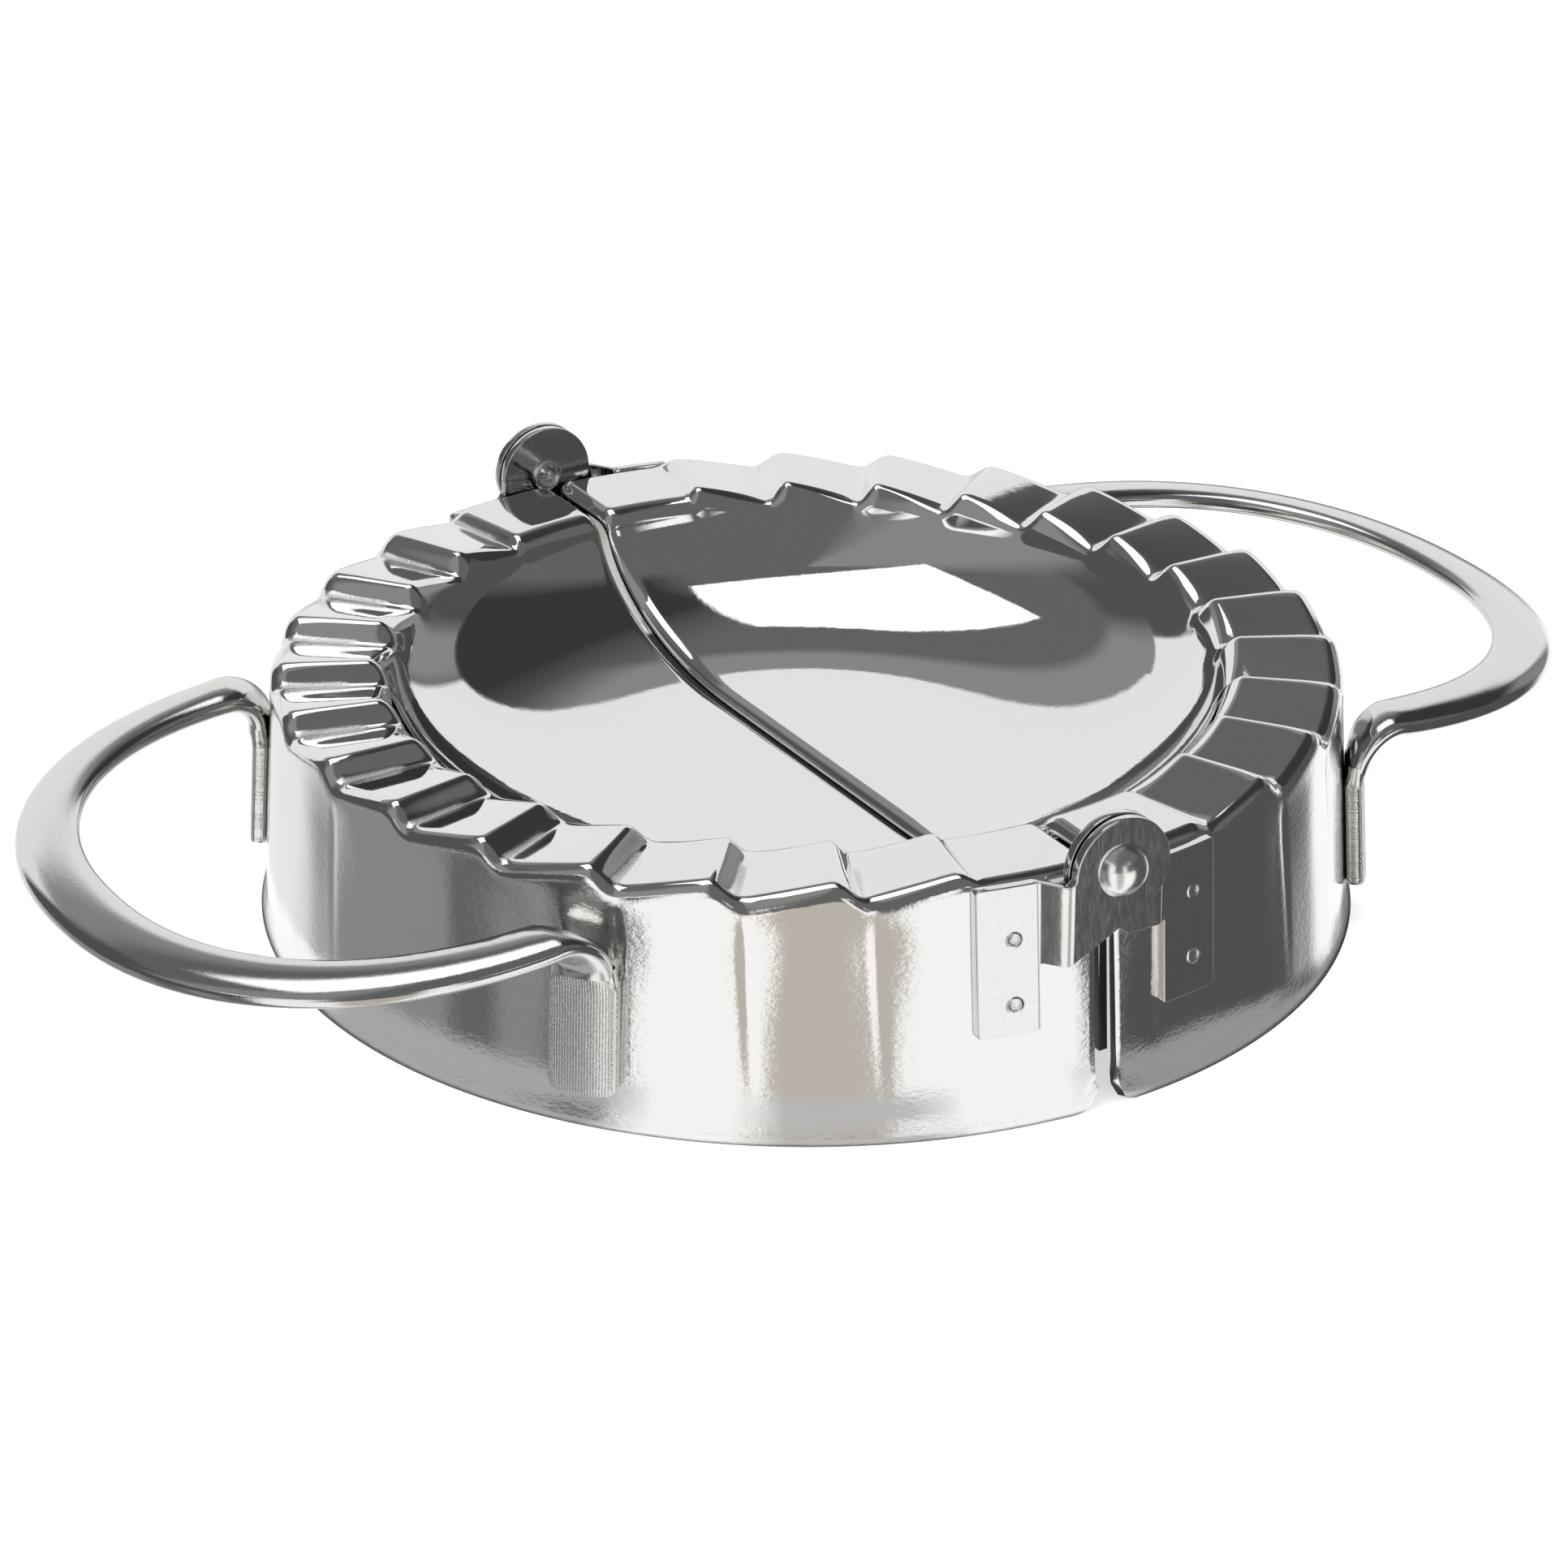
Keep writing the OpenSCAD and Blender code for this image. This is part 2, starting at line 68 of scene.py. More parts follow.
def pick(piece):
    clear_selection()
    bpy.context.view_layer.objects.active = piece
    piece.select_set(True)


def edit(piece):
    pick(piece)
    bpy.ops.object.mode_set(mode="EDIT")
    bpy.ops.mesh.select_all(action="SELECT")


def leave_edit():
    bpy.ops.object.mode_set(mode="OBJECT")


def points_of(piece):
    flat = np.empty(len(piece.data.vertices) * 3)
    piece.data.vertices.foreach_get("co", flat)
    return flat.reshape(-1, 3)


def set_points(piece, points):
    piece.data.vertices.foreach_set("co", np.asarray(points, dtype=np.float64).ravel())
    piece.data.update()


def disc(name, vertices, radius, z=0.0):
    clear_selection()
    bpy.ops.mesh.primitive_circle_add(vertices=vertices, radius=radius * MM, fill_type="NGON",
                                      location=(0, 0, z * MM))
    piece = bpy.context.object
    piece.name = name
    return piece


def polar(points):
    r = np.hypot(points[:, 0], points[:, 1])
    return r, np.degrees(np.arctan2(points[:, 1], points[:, 0]))


def apply_modifier(piece, kind, **settings):
    pick(piece)
    modifier = piece.modifiers.new(kind.lower(), kind)
    for name, value in settings.items():
        setattr(modifier, name, value)
    bpy.ops.object.modifier_apply(modifier=modifier.name)


def face_outwards(piece):
    edit(piece)
    bpy.ops.mesh.normals_make_consistent(inside=False)
    leave_edit()


def join_close(piece, gap):
    edit(piece)
    bpy.ops.mesh.remove_doubles(threshold=gap * MM)
    leave_edit()
    face_outwards(piece)


def store(piece, name, values):
    attribute = piece.data.attributes.new(name, "FLOAT", "POINT")
    attribute.data.foreach_set("value", np.asarray(values, dtype=np.float32))


def finish_piece(piece, body, node, sharp):
    pick(piece)
    bpy.ops.object.shade_smooth_by_angle(angle=math.radians(sharp))
    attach(piece, body)
    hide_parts(node)
    print(piece.name, "has", len(piece.data.polygons), "faces")


print("the helpers are ready")

# %% [markdown]
# ## The half dish
# On the real press one blank of sheet is drawn into bowl, rim, skirt and a turned-down straight
# edge. A lathe would make all of it but the straight edge and the teeth. So the plan is: draw
# half of the section as a chain of points, spin it through half a turn, and then push the points
# so that every arc ends on the straight edge and the rim rises and falls as teeth.

# %% Sizes of the dish, in millimetres
ring_r = 60.0
rim_z = 28.0
wall = 1.0
edge_r = 1.8
band_r = 49.2
bowl_depth = 12.4
floor_r = 20.0
mouth_slope = math.radians(66)
mouth_r = 2.8
skirt_draft = 1.6
hem_flare = 0.4
hem_h = 3.0
seam_x = 0.5
seam_r = 1.6
edge_x = seam_x + seam_r
skirt_x = 1.2
end_draft = 0.2
corner_r = 2.4
web_z = 4.5
web_draft = 0.8
axis_z = 28.5
print("ring", 2 * ring_r, "mm across, rim", rim_z, "mm above the table")

# %% The slope of the skirt
draft = math.atan(skirt_draft / 26.6)
lean = math.pi / 2 - draft
skirt_top_r = ring_r - edge_r * (1 - math.sin(lean))
skirt_top_z = rim_z - edge_r * (1 - math.cos(lean))


def skirt_r(z):
    return skirt_top_r + math.tan(draft) * (skirt_top_z - z)


low_r = skirt_r(0) + hem_flare
print("skirt radius at the table:", round(low_r, 2), "mm")

# %% The bowl's wall as a piece of an ellipse
wall_top_r = band_r - mouth_r * math.sin(mouth_slope)
wall_top_z = rim_z - mouth_r * (1 - math.cos(mouth_slope))
floor_z = rim_z - bowl_depth
run = wall_top_r - floor_r
rise = wall_top_z - floor_z
wall_turn = math.acos(1 / (math.tan(mouth_slope) * run / rise - 1))
wall_a = run / math.sin(wall_turn)
wall_b = rise / (1 - math.cos(wall_turn))
print("the bowl's wall turns through", round(math.degrees(wall_turn)), "degrees")

# %% [markdown]
# Every point of the section carries four numbers: its radius, its height, how much of a tooth's
# height it takes, and the x at which its arc ends. The rows lie close together where the sheet
# bends sharply, because a mirror needs an even flow of faces there.

# %% The section, from the bowl's middle to the hem
fade_r = 45.8
fade_w = 3.2


def tooth_share(r):
    u = min(1.0, max(0.0, (r - fade_r) / fade_w))
    return u * u * (3 - 2 * u)


section = [(r, floor_z, 0.0, edge_x) for r in (edge_x, 5.0, 9.0, 13.0, 16.5, floor_r)]
for k in range(1, 25):
    b = wall_turn * k / 24
    r = floor_r + wall_a * math.sin(b)
    section.append((r, floor_z + wall_b * (1 - math.cos(b)), tooth_share(r), edge_x))
for k in range(9, -1, -1):
    a = mouth_slope * k / 10
    r = band_r - mouth_r * math.sin(a)
    section.append((r, rim_z - mouth_r * (1 - math.cos(a)), tooth_share(r), edge_x))
for r in (49.6, 50.0, 50.4, 50.8, 51.1, 51.4, 52.4, 54.0, 55.8, 57.2, 57.9):
    section.append((r, rim_z, tooth_share(r), edge_x))
for k in range(10):
    a = lean * k / 9
    x = edge_x + (skirt_x - edge_x) * k / 9
    section.append((ring_r - edge_r * (1 - math.sin(a)), rim_z - edge_r * (1 - math.cos(a)), 1.0, x))
for z in (25.6, 24.0, 21.0, 17.0, 13.0, 9.0, 6.0, 4.0):
    share = (z - hem_h) / (skirt_top_z - hem_h)
    section.append((skirt_r(z), z, share, skirt_x + end_draft * (1 - z / skirt_top_z)))
for z in (3.0, 2.3, 1.6, 0.8, 0.0):
    flare = hem_flare * (1 - z / hem_h) ** 1.5
    section.append((skirt_r(z) + flare, z, 0.0, skirt_x + end_draft * (1 - z / skirt_top_z)))
section = np.array(section)
print(len(section), "points in the section")

# %% [markdown]
# The section starts as one point: a small plane whose corners are merged. Extruding that point
# again and again draws the chain, and Spin turns the chain into half a dish. The rivets are made
# in the same way later, so the chain is a helper of its own.

# %% Draw a chain of points and spin it
columns = 432


def extrude_by(move):
    bpy.ops.mesh.extrude_region_move(TRANSFORM_OT_translate={"value": np.array(move) * MM})


def spun_chain(name, chain, **spin):
    clear_selection()
    bpy.ops.mesh.primitive_plane_add(size=0.1 * MM, location=(0, 0, 0))
    piece = bpy.context.object
    piece.name = name
    edit(piece)
    bpy.ops.mesh.merge(type="CENTER")
    here = np.array(chain[0])
    bpy.ops.transform.translate(value=here * MM)
    for point in chain[1:]:
        there = np.array(point)
        extrude_by(there - here)
        here = there
    bpy.ops.mesh.select_all(action="SELECT")
    bpy.ops.mesh.spin(**spin)
    leave_edit()
    return piece


print("one half takes", columns, "columns")

# %% [markdown]
# Half a turn to the right gives the right-hand dish. Now every point is pushed to its place.
# Its height round the rim follows one tooth, repeated at an even pitch: up a long gentle slope
# and down a short steep face, along an S-shaped curve. A pressed crest is rounder than a pressed
# valley, so the profile is smoothed twice and the lower of the two results is taken. A much softer
# profile takes over near the outer edge, where the sheet turns down into the skirt.

# %% Height of the teeth round the half ring
teeth = 12
pitch = 180.0 / (teeth + 2)
steep = 0.24
slope_bulge = 0.14
tooth_h = 2.0
teeth_turn = teeth / 2 * pitch


def sharp_tooth(turn):
    inside = np.abs(turn) < teeth_turn
    u = np.mod(turn + teeth_turn, pitch) / pitch
    s = np.clip((u - steep / 2) / (1 - steep), 0, 1)
    up = 2 * ((1 - slope_bulge) * s + slope_bulge * np.sin(math.pi / 2 * s)) - 1
    t = np.where(u < 0.5, -u / (steep / 2), (1 - u) / (steep / 2))
    down = 1.5 * t - 0.5 * t ** 3
    in_drop = (u < steep / 2) | (u > 1 - steep / 2)
    return np.where(inside, np.where(in_drop, down, up), 0.0)


valley_turns = [k * pitch - teeth_turn + steep / 2 * pitch for k in range(teeth)]
fine_step = 0.025
fine_turn = np.linspace(-90, 90, 7201)
sharp = sharp_tooth(fine_turn)


def smoothed(width):
    reach = int(4 * width / fine_step)
    kernel = np.exp(-0.5 * (np.arange(-reach, reach + 1) * fine_step / width) ** 2)
    return np.convolve(sharp, kernel / kernel.sum(), mode="same")


tooth_curve = np.minimum(smoothed(0.34), smoothed(0.14))
soft_curve = smoothed(0.85)
print("teeth from", tooth_curve.min().round(2), "to", tooth_curve.max().round(2))

# %% [markdown]
# The columns of points are drawn together where the rim is steep, so that they stand closer on a
# steep face than on a long slope.

# %% Where each column of points goes
even = np.linspace(-1, 1, columns + 1)
extra_columns = 1.6


def column_turns(end_turn):
    fine = np.linspace(-end_turn, end_turn, 6001)
    steepness = np.abs(np.gradient(np.interp(fine, fine_turn, tooth_curve), fine))
    weight = 1 + extra_columns * np.minimum(steepness / 0.5, 1)
    weight = np.convolve(np.pad(weight, 40, mode="edge"), np.ones(81) / 81, mode="valid")
    path = np.concatenate([[0], np.cumsum((weight[1:] + weight[:-1]) / 2)])
    return np.interp((even + 1) / 2, path / path[-1], fine)


skirt_turn = math.degrees(math.acos(skirt_x / ring_r))
turns = column_turns(skirt_turn)
print("columns are", np.diff(turns).min().round(2), "to", np.diff(turns).max().round(2), "degrees apart")

# %% [markdown]
# Small marks of the making are pressed into the same surface: three shallow dents near the front
# hinge, a fold that runs down the skirt under some valleys, a shallow wave under every tooth, and
# slow waves all round, as a drawn skirt has.

# %% Dents, folds and waves of the skirt
tooth_wave = 0.17
slow_waves = [(0.035, 11, 40), (0.012, 61, 70)]
fold_w = 0.5


def skirt_push(points, folds, dents):
    turn = polar(points)[1]
    z = points[:, 2]
    push = 0.025 * np.sin(np.radians(turn * 23 + z * 2))
    for depth, waves, shift in slow_waves:
        push += depth * np.sin(np.radians(turn * waves + shift))
    under_tooth = np.cos(2 * math.pi * (turn - valley_turns[0]) / pitch)
    push += tooth_wave * under_tooth * np.clip((z - 11) / 13, 0, 1) ** 2
    for where, depth in folds:
        line = where + 0.05 * (24 - z)
        push += depth * np.exp(-((turn - line) / fold_w) ** 2) * np.clip((z - 4) / 18, 0, 1)
    for centre, radius, depth in dents:
        away = np.linalg.norm(points - np.array(centre), axis=1)
        push += depth * np.exp(-(away / radius) ** 2)
    inside = np.clip((25.5 - z) / 3, 0, 1) * np.clip(z / 3, 0, 1)
    return push * inside


print("dents and folds are a few tenths of a millimetre deep")

# %% [markdown]
# Each point finds its row in the section by its radius and height, and its column by its turn.
# The row and the column then give it its final place.

# %% Push every point to its place
def shaped(piece, folds, dents):
    points = points_of(piece) / MM
    r, turn = polar(points)
    gap = np.abs(r[:, None] - section[None, :, 0]) + np.abs(points[:, 2, None] - section[None, :, 1])
    row = section[gap.argmin(axis=1)]
    column = np.clip(np.rint((turn / 180 + 0.5) * columns).astype(int), 0, columns)
    station = turns[column]
    outer = np.clip((row[:, 0] - 56) / 4, 0, 1)
    height = (1 - outer) * np.interp(station, fine_turn, tooth_curve)
    height += outer * np.interp(station, fine_turn, soft_curve)
    lift = row[:, 2] * height * tooth_h / 2
    on_slope = np.clip((row[:, 0] - (ring_r - edge_r)) / edge_r, 0, 1)
    radius = row[:, 0] - lift * on_slope * math.tan(draft)
    end_angle = np.arccos(np.clip(row[:, 3] / radius, -1, 1))
    angle = station / skirt_turn * end_angle
    from_end = np.radians(skirt_turn - np.abs(station)) * ring_r
    s = np.minimum(corner_r, from_end)
    corner = corner_r - np.sqrt(np.maximum(0, corner_r ** 2 - (corner_r - s) ** 2))
    z = row[:, 1] + lift + corner * np.clip(1 - row[:, 1] / 6, 0, 1)
    placed = np.stack([radius * np.cos(angle), radius * np.sin(angle), z], axis=1)
    on_skirt = row[:, 1] < 26
    push = np.where(on_skirt & (row[:, 0] > 59), skirt_push(placed, folds, dents), 0.0)
    placed[:, 0] -= push * np.cos(angle)
    placed[:, 1] -= push * np.sin(angle)
    set_points(piece, placed * MM)
    return row


print("the skirt ends", round(90 - skirt_turn, 2), "degrees short of the hinge line")

# %% [markdown]
# The straight edge is then turned down: the points that lie on it are extruded a little at a
# time round a quarter circle, and twice more down to the wall's lower edge. Last, the skin gets
# its wall thickness towards the inside, and the free edges of the sheet lose their sharpness.

# %% Turn the straight edge down
first_drop = np.array((0.02, 0, -0.5))
to_wall_end = np.array((web_draft - 0.02, 0, -1))


def turn_down(piece, straight):
    edit(piece)
    bpy.ops.mesh.select_mode(type="EDGE")
    bpy.ops.mesh.select_all(action="DESELECT")
    mesh = bmesh.from_edit_mesh(piece.data)
    for e in mesh.edges:
        if e.is_boundary and all(straight[v.index] for v in e.verts):
            e.select_set(True)
    bmesh.update_edit_mesh(piece.data)
    steps = 8
    for k in range(steps):
        a = math.pi / 2 * k / steps
        b = math.pi / 2 * (k + 1) / steps
        extrude_by((-seam_r * (math.sin(b) - math.sin(a)), 0, -seam_r * (math.cos(a) - math.cos(b))))
    extrude_by(first_drop)
    extrude_by(to_wall_end)
    mesh = bmesh.from_edit_mesh(piece.data)
    for v in mesh.verts:
        if v.select:
            v.co.z = web_z * MM
    bmesh.update_edit_mesh(piece.data)
    bpy.ops.mesh.select_mode(type="VERT")
    leave_edit()


print("the turned edge has a radius of", seam_r, "mm")

# %% Give the skin its thickness
def thicken(piece):
    join_close(piece, 0.004)
    up = sum(p.normal.z * p.area for p in piece.data.polygons)
    if up < 0:
        edit(piece)
        bpy.ops.mesh.flip_normals()
        leave_edit()
    apply_modifier(piece, "SOLIDIFY", thickness=wall * MM, offset=-1, use_even_offset=False)
    apply_modifier(piece, "BEVEL", width=0.16 * MM, segments=2, limit_method="ANGLE",
                   angle_limit=math.radians(72), use_clamp_overlap=True)
    points = points_of(piece)
    points[:, 2] = np.maximum(points[:, 2], 0)
    set_points(piece, points)


print("sheet", wall, "mm thick")

# %% Make both half dishes
def make_dish(name, body, node, folds, dents, turned):
    chain = [(0.0, -r, z) for r, z in section[:, :2]]
    piece = spun_chain(name, chain, steps=columns, angle=-math.pi, center=(0, 0, 0), axis=(0, 0, 1))
    row = shaped(piece, folds, dents)
    points = points_of(piece) / MM
    on_edge = np.abs(points[:, 0] - edge_x) < 0.002
    straight = on_edge & (row[:, 0] <= ring_r - edge_r + 0.001)
    turn_down(piece, straight)
    thicken(piece)
    if turned:
        pick(piece)
        piece.rotation_euler = (0, 0, math.pi)
        bpy.ops.object.transform_apply(location=True, rotation=True, scale=True)
    finish_piece(piece, body, node, 50)
    return piece


print("the left dish is the right one turned half a turn")

# %% Left and right dish
right_folds = [(valley_turns[k], depth) for k, depth in ((1, 0.16), (2, 0.1), (6, 0.1))]
left_folds = [(valley_turns[k], depth) for k, depth in ((6, 0.1), (9, 0.14), (10, 0.16), (11, 0.12))]
right_dents = [((5.8, -60.8, 9.1), 1.5, 0.3)]
left_dents = [((16.8, 58.2, 16.9), 1.5, 0.28), ((6.8, 60.5, 12.4), 1.4, 0.28)]
right_dish = make_dish("right_dish", "right_half", "right_shell", right_folds, right_dents, False)
left_dish = make_dish("left_dish", "left_half", "left_shell", left_folds, left_dents, True)

# %% [markdown]
# ## The handles
# Each handle is one flat bar. It leaves the skirt at a flattened, ribbed foot, bends outwards and
# swings round in a wide loop to the other foot. It is made as a straight rod first: a circle,
# extruded step by step. Then every ring of the rod is laid on the bar's middle line and pressed
# into the bar's flat section. The loop's upper face leans out a little. The bar reaches a hair less
# far than the solid's 92.5 mm, so that it stays inside the solid's box.

# %% Sizes of the handles, in millimetres
bar_w = 7.0
bar_t = 2.8
handle_reach = 92.42
leg_half_y = 36.0
handle_front = 1.5
bar_z = 22.6
bar_drop = 2.8
bend_r = 4.6
loop_power = 2.2
leg_z = 4.5
patch_h = 12.0
patch_w = 7.8
patch_t = 2.2
patch_step = 2.6
foot_r = 0.9
bend_z = bar_z - bend_r
leg_r = skirt_r(bend_z) + bar_t / 2
print("handles reach", handle_reach, "mm from the hinge line")

# %% [markdown]
# A ring is told by its middle, the direction of its width, the direction of its thickness, and
# both sizes. A last number says how much of the ribbed foot it is.

# %% The bar's middle line on one side
loop_lean = 0.13


def leg_ring(z, turn, side):
    t = patch_t
    w = patch_w
    share = 1.0
    if z > leg_z + patch_h:
        share = max(0.0, 1 - (z - leg_z - patch_h) / patch_step)
        t = bar_t + (patch_t - bar_t) * share
        w = bar_w + (patch_w - bar_w) * share
    low = max(0.0, foot_r - (z - leg_z))
    w -= 2 * (foot_r - math.sqrt(foot_r ** 2 - low ** 2))
    r = skirt_r(z) + t / 2
    across = np.array((-math.sin(turn), math.cos(turn), 0)) * side
    through = np.array((math.cos(turn), math.sin(turn), 0))
    return np.array((r * math.cos(turn), r * math.sin(turn), z)), across, through, w, t, share


def bend_ring(a, leg_y, turn, side):
    twist = turn * (1 - a / (math.pi / 2))
    c = math.cos(a)
    s = math.sin(a)
    middle = np.array((leg_r * math.cos(turn) + bend_r * (1 - c), leg_y, bend_z + bend_r * s))
    across = np.array((-math.sin(twist) * c, math.cos(twist), math.sin(twist) * s)) * side
    through = np.array((c * math.cos(twist), math.sin(twist), -s))
    return middle, across, through, bar_w, bar_t, 0.0


def loop_ring(a, loop_x, side):
    p = 2 / loop_power
    length = handle_reach - bar_w / 2 - loop_x
    nx = math.cos(a) ** (2 - p) / length
    ny = math.sin(a) ** (2 - p) / leg_half_y
    n = math.hypot(nx, ny)
    out = max(0.0, math.cos(a)) ** p
    y = side * leg_half_y * math.sin(a) ** p - handle_front
    middle = np.array((loop_x + length * out, y, bar_z - bar_drop * out))
    lean_out = loop_lean * math.sqrt(max(0.0, math.cos(a)))
    across = np.array((nx / n, side * ny / n, -bar_drop / length * nx / n - lean_out))
    return middle, across, np.array((0, 0, -1.0)), bar_w, bar_t, 0.0


print("a bar is", bar_w, "by", bar_t, "mm")

# %% All rings of one handle
leg_levels = [leg_z + foot_r * (1 - math.cos(math.pi / 2 * k / 5)) for k in range(6)]
leg_levels += [leg_z + patch_h * k / 12 for k in range(2, 12)]
leg_levels += [leg_z + patch_h + patch_step * k / 4 for k in range(0, 5)]


def half_rings(side):
    leg_y = side * leg_half_y - handle_front
    turn = math.asin(leg_y / leg_r)
    loop_x = leg_r * math.cos(turn) + bend_r
    rings = [leg_ring(z, turn, side) for z in leg_levels]
    rings += [bend_ring(math.pi / 2 * k / 14, leg_y, turn, side) for k in range(14)]
    rings += [loop_ring(math.pi / 2 * (1 - k / 44), loop_x, side) for k in range(45)]
    return rings


rings = half_rings(1) + half_rings(-1)[-2::-1]
print(len(rings), "rings in a handle")

# %% [markdown]
# The section is an oval with a power: near 1 it is a plain ellipse, and smaller powers make it
# boxier. The bar is nearly an ellipse, and the pressed foot is nearly a box. The foot is also
# hollowed, so that it lies on the round skirt. Three attributes tell the material where it is:
# how far across the bar, how far along it, and how much of a foot.

# %% Make a handle
around = 40
bar_power = 0.88
foot_power = 0.55


def make_handle(name, body, node, side):
    piece = disc(name, around, 1)
    edit(piece)
    for k in range(len(rings) - 1):
        extrude_by((0, 0, 1))
    leave_edit()
    rod = points_of(piece) / MM
    number = np.rint(rod[:, 2]).astype(int)
    angle = np.arctan2(rod[:, 1], rod[:, 0])
    middle, across, through, w, t, foot = [np.array(column) for column in zip(*rings)]
    section_power = bar_power + (foot_power - bar_power) * foot[number]
    wide = np.sign(np.cos(angle)) * np.abs(np.cos(angle)) ** section_power / 2
    thick = np.sign(np.sin(angle)) * np.abs(np.sin(angle)) ** section_power / 2
    across_mm = wide * w[number]
    placed = middle[number] + across[number] * across_mm[:, None]
    hollow = foot[number] * across_mm ** 2 / (2 * ring_r)
    placed += through[number] * (thick * t[number] - hollow)[:, None]
    placed[:, 0] *= side
    set_points(piece, placed * MM)
    along = np.concatenate([[0], np.cumsum(np.linalg.norm(np.diff(middle, axis=0), axis=1))])
    store(piece, "across", across_mm)
    store(piece, "along", along[number])
    store(piece, "foot", foot[number])
    face_outwards(piece)
    apply_modifier(piece, "BEVEL", width=0.3 * MM, segments=3, limit_method="ANGLE",
                   angle_limit=math.radians(60))
    finish_piece(piece, body, node, 50)
    return piece


right_bar = make_handle("right_bar", "right_half", "right_handle", 1)
left_bar = make_handle("left_bar", "left_half", "left_handle", -1)

# %% [markdown]
# ## The hinge leaves
# A leaf is cut from flat sheet, and it is drawn that way here: the outline first, as corners with
# small radii and one round lug, then filled.

# %% Sizes of the hinge leaves, in millimetres
leaf_t = 1.1
lug_r = 5.8
roll_clear = 0.4
lug_gap = 0.4
outer_drop = 0.1
inner_drop = 1.0
plate_h = 16.8
outer_plate_w = 6.8
inner_plate_w = 7.2
outer_neck_h = 9.2
inner_neck_h = 8.0
joggle_w = 2.0
inner_joggle_w = 1.2
joggle_clear = 0.6
rivet_d = 3.2
rivet_clear = 0.05
head_d = 6.0
head_h = 2.2
end_play = 0.15
roll_w = 0.35
roll_seat = 0.1
inner_lug_y = skirt_r(axis_z - rivet_d / 2 - roll_w) + roll_clear + roll_w + roll_seat + end_play
outer_lug_y = inner_lug_y + leaf_t + lug_gap
print("lugs at", round(inner_lug_y, 2), "and", round(outer_lug_y, 2), "mm in front of the middle")

# %% Outline of a leaf, seen from the front on the left half
def rounded_corner(before, corner, after, radius):
    a = Vector(before) - Vector(corner)
    b = Vector(after) - Vector(corner)
    half = a.angle(b) / 2
    reach = radius / math.tan(half)
    start = Vector(corner) + a.normalized() * reach
    end = Vector(corner) + b.normalized() * reach
    points = []
    for k in range(5):
        s = k / 4
        points.append(tuple(start.lerp(Vector(corner), s).lerp(Vector(corner).lerp(end, s), s)))
    return points


def tangent_turn(low):
    v = (-low[0], axis_z - low[1])
    return math.atan2(v[1], v[0]) - math.asin(lug_r / math.hypot(*v)) - math.pi / 2


def leaf_outline(x0, width, top_z, neck_z, low, neck_x):
    plate_low = top_z - plate_h
    corners = [(-neck_x, top_z), (-x0 - width, top_z), (-x0 - width, plate_low), (-x0, plate_low),
               (-x0, neck_z), low]
    start = tangent_turn(low)
    points = []
    for k in range(65):
        a = start + (math.pi - start) * k / 64
        points.append((lug_r * math.cos(a), axis_z + lug_r * math.sin(a)))
    points.append(corners[0])
    for k, radius in enumerate((0.5, 0.6, 0.4, 0.35)):
        points += rounded_corner(*corners[k:k + 3], radius)
    points.append(low)
    return points


print("a leaf's plate is", outer_plate_w, "by", plate_h, "mm")

# %% [markdown]
# The blank gets its thickness, its bore and its soft edges while it is still flat, because all
# three are easy there. Only then do cuts across it make the lines along which it bends. It
# follows the cone of the skirt under its plate and steps out to the level of its lug. The step's
# bend next to the plate is tight, and the one next to the lug is softer.

# %% How far a leaf stands out in front
def stands_at(x, thick, z, x0, lug_x, lug_y):
    fine = np.linspace(-x0 - 0.3, -lug_x + 0.5, 200)
    slope = np.clip((fine - fine[0]) / 0.35, 0, 1) * np.clip((fine[-1] - fine) / 1.1, 0, 1)
    ramp = np.cumsum(slope) / slope.sum()
    share = np.interp(x, fine, ramp, left=0, right=1)
    plate = np.sqrt((skirt_r(z) + thick) ** 2 - np.minimum(x, -lug_x) ** 2)
    return plate + (lug_y + thick - plate) * share


def cut_across(piece, places):
    edit(piece)
    for x in places:
        bpy.ops.mesh.select_all(action="SELECT")
        bpy.ops.mesh.bisect(plane_co=(x * MM, 0, 0), plane_no=(1, 0, 0), threshold=0.01 * MM)
    leave_edit()


def drill(piece, bore):
    clear_selection()
    bpy.ops.mesh.primitive_cylinder_add(vertices=64, radius=bore / 2 * MM, depth=6 * MM,
                                        location=(0, 0, axis_z * MM), rotation=(math.pi / 2, 0, 0))
    drill_bit = bpy.context.object
    apply_modifier(piece, "BOOLEAN", operation="DIFFERENCE", object=drill_bit, solver="EXACT")
    bpy.data.objects.remove(drill_bit)


print("the outer step is", joggle_w, "mm wide, the inner", inner_joggle_w, "mm")

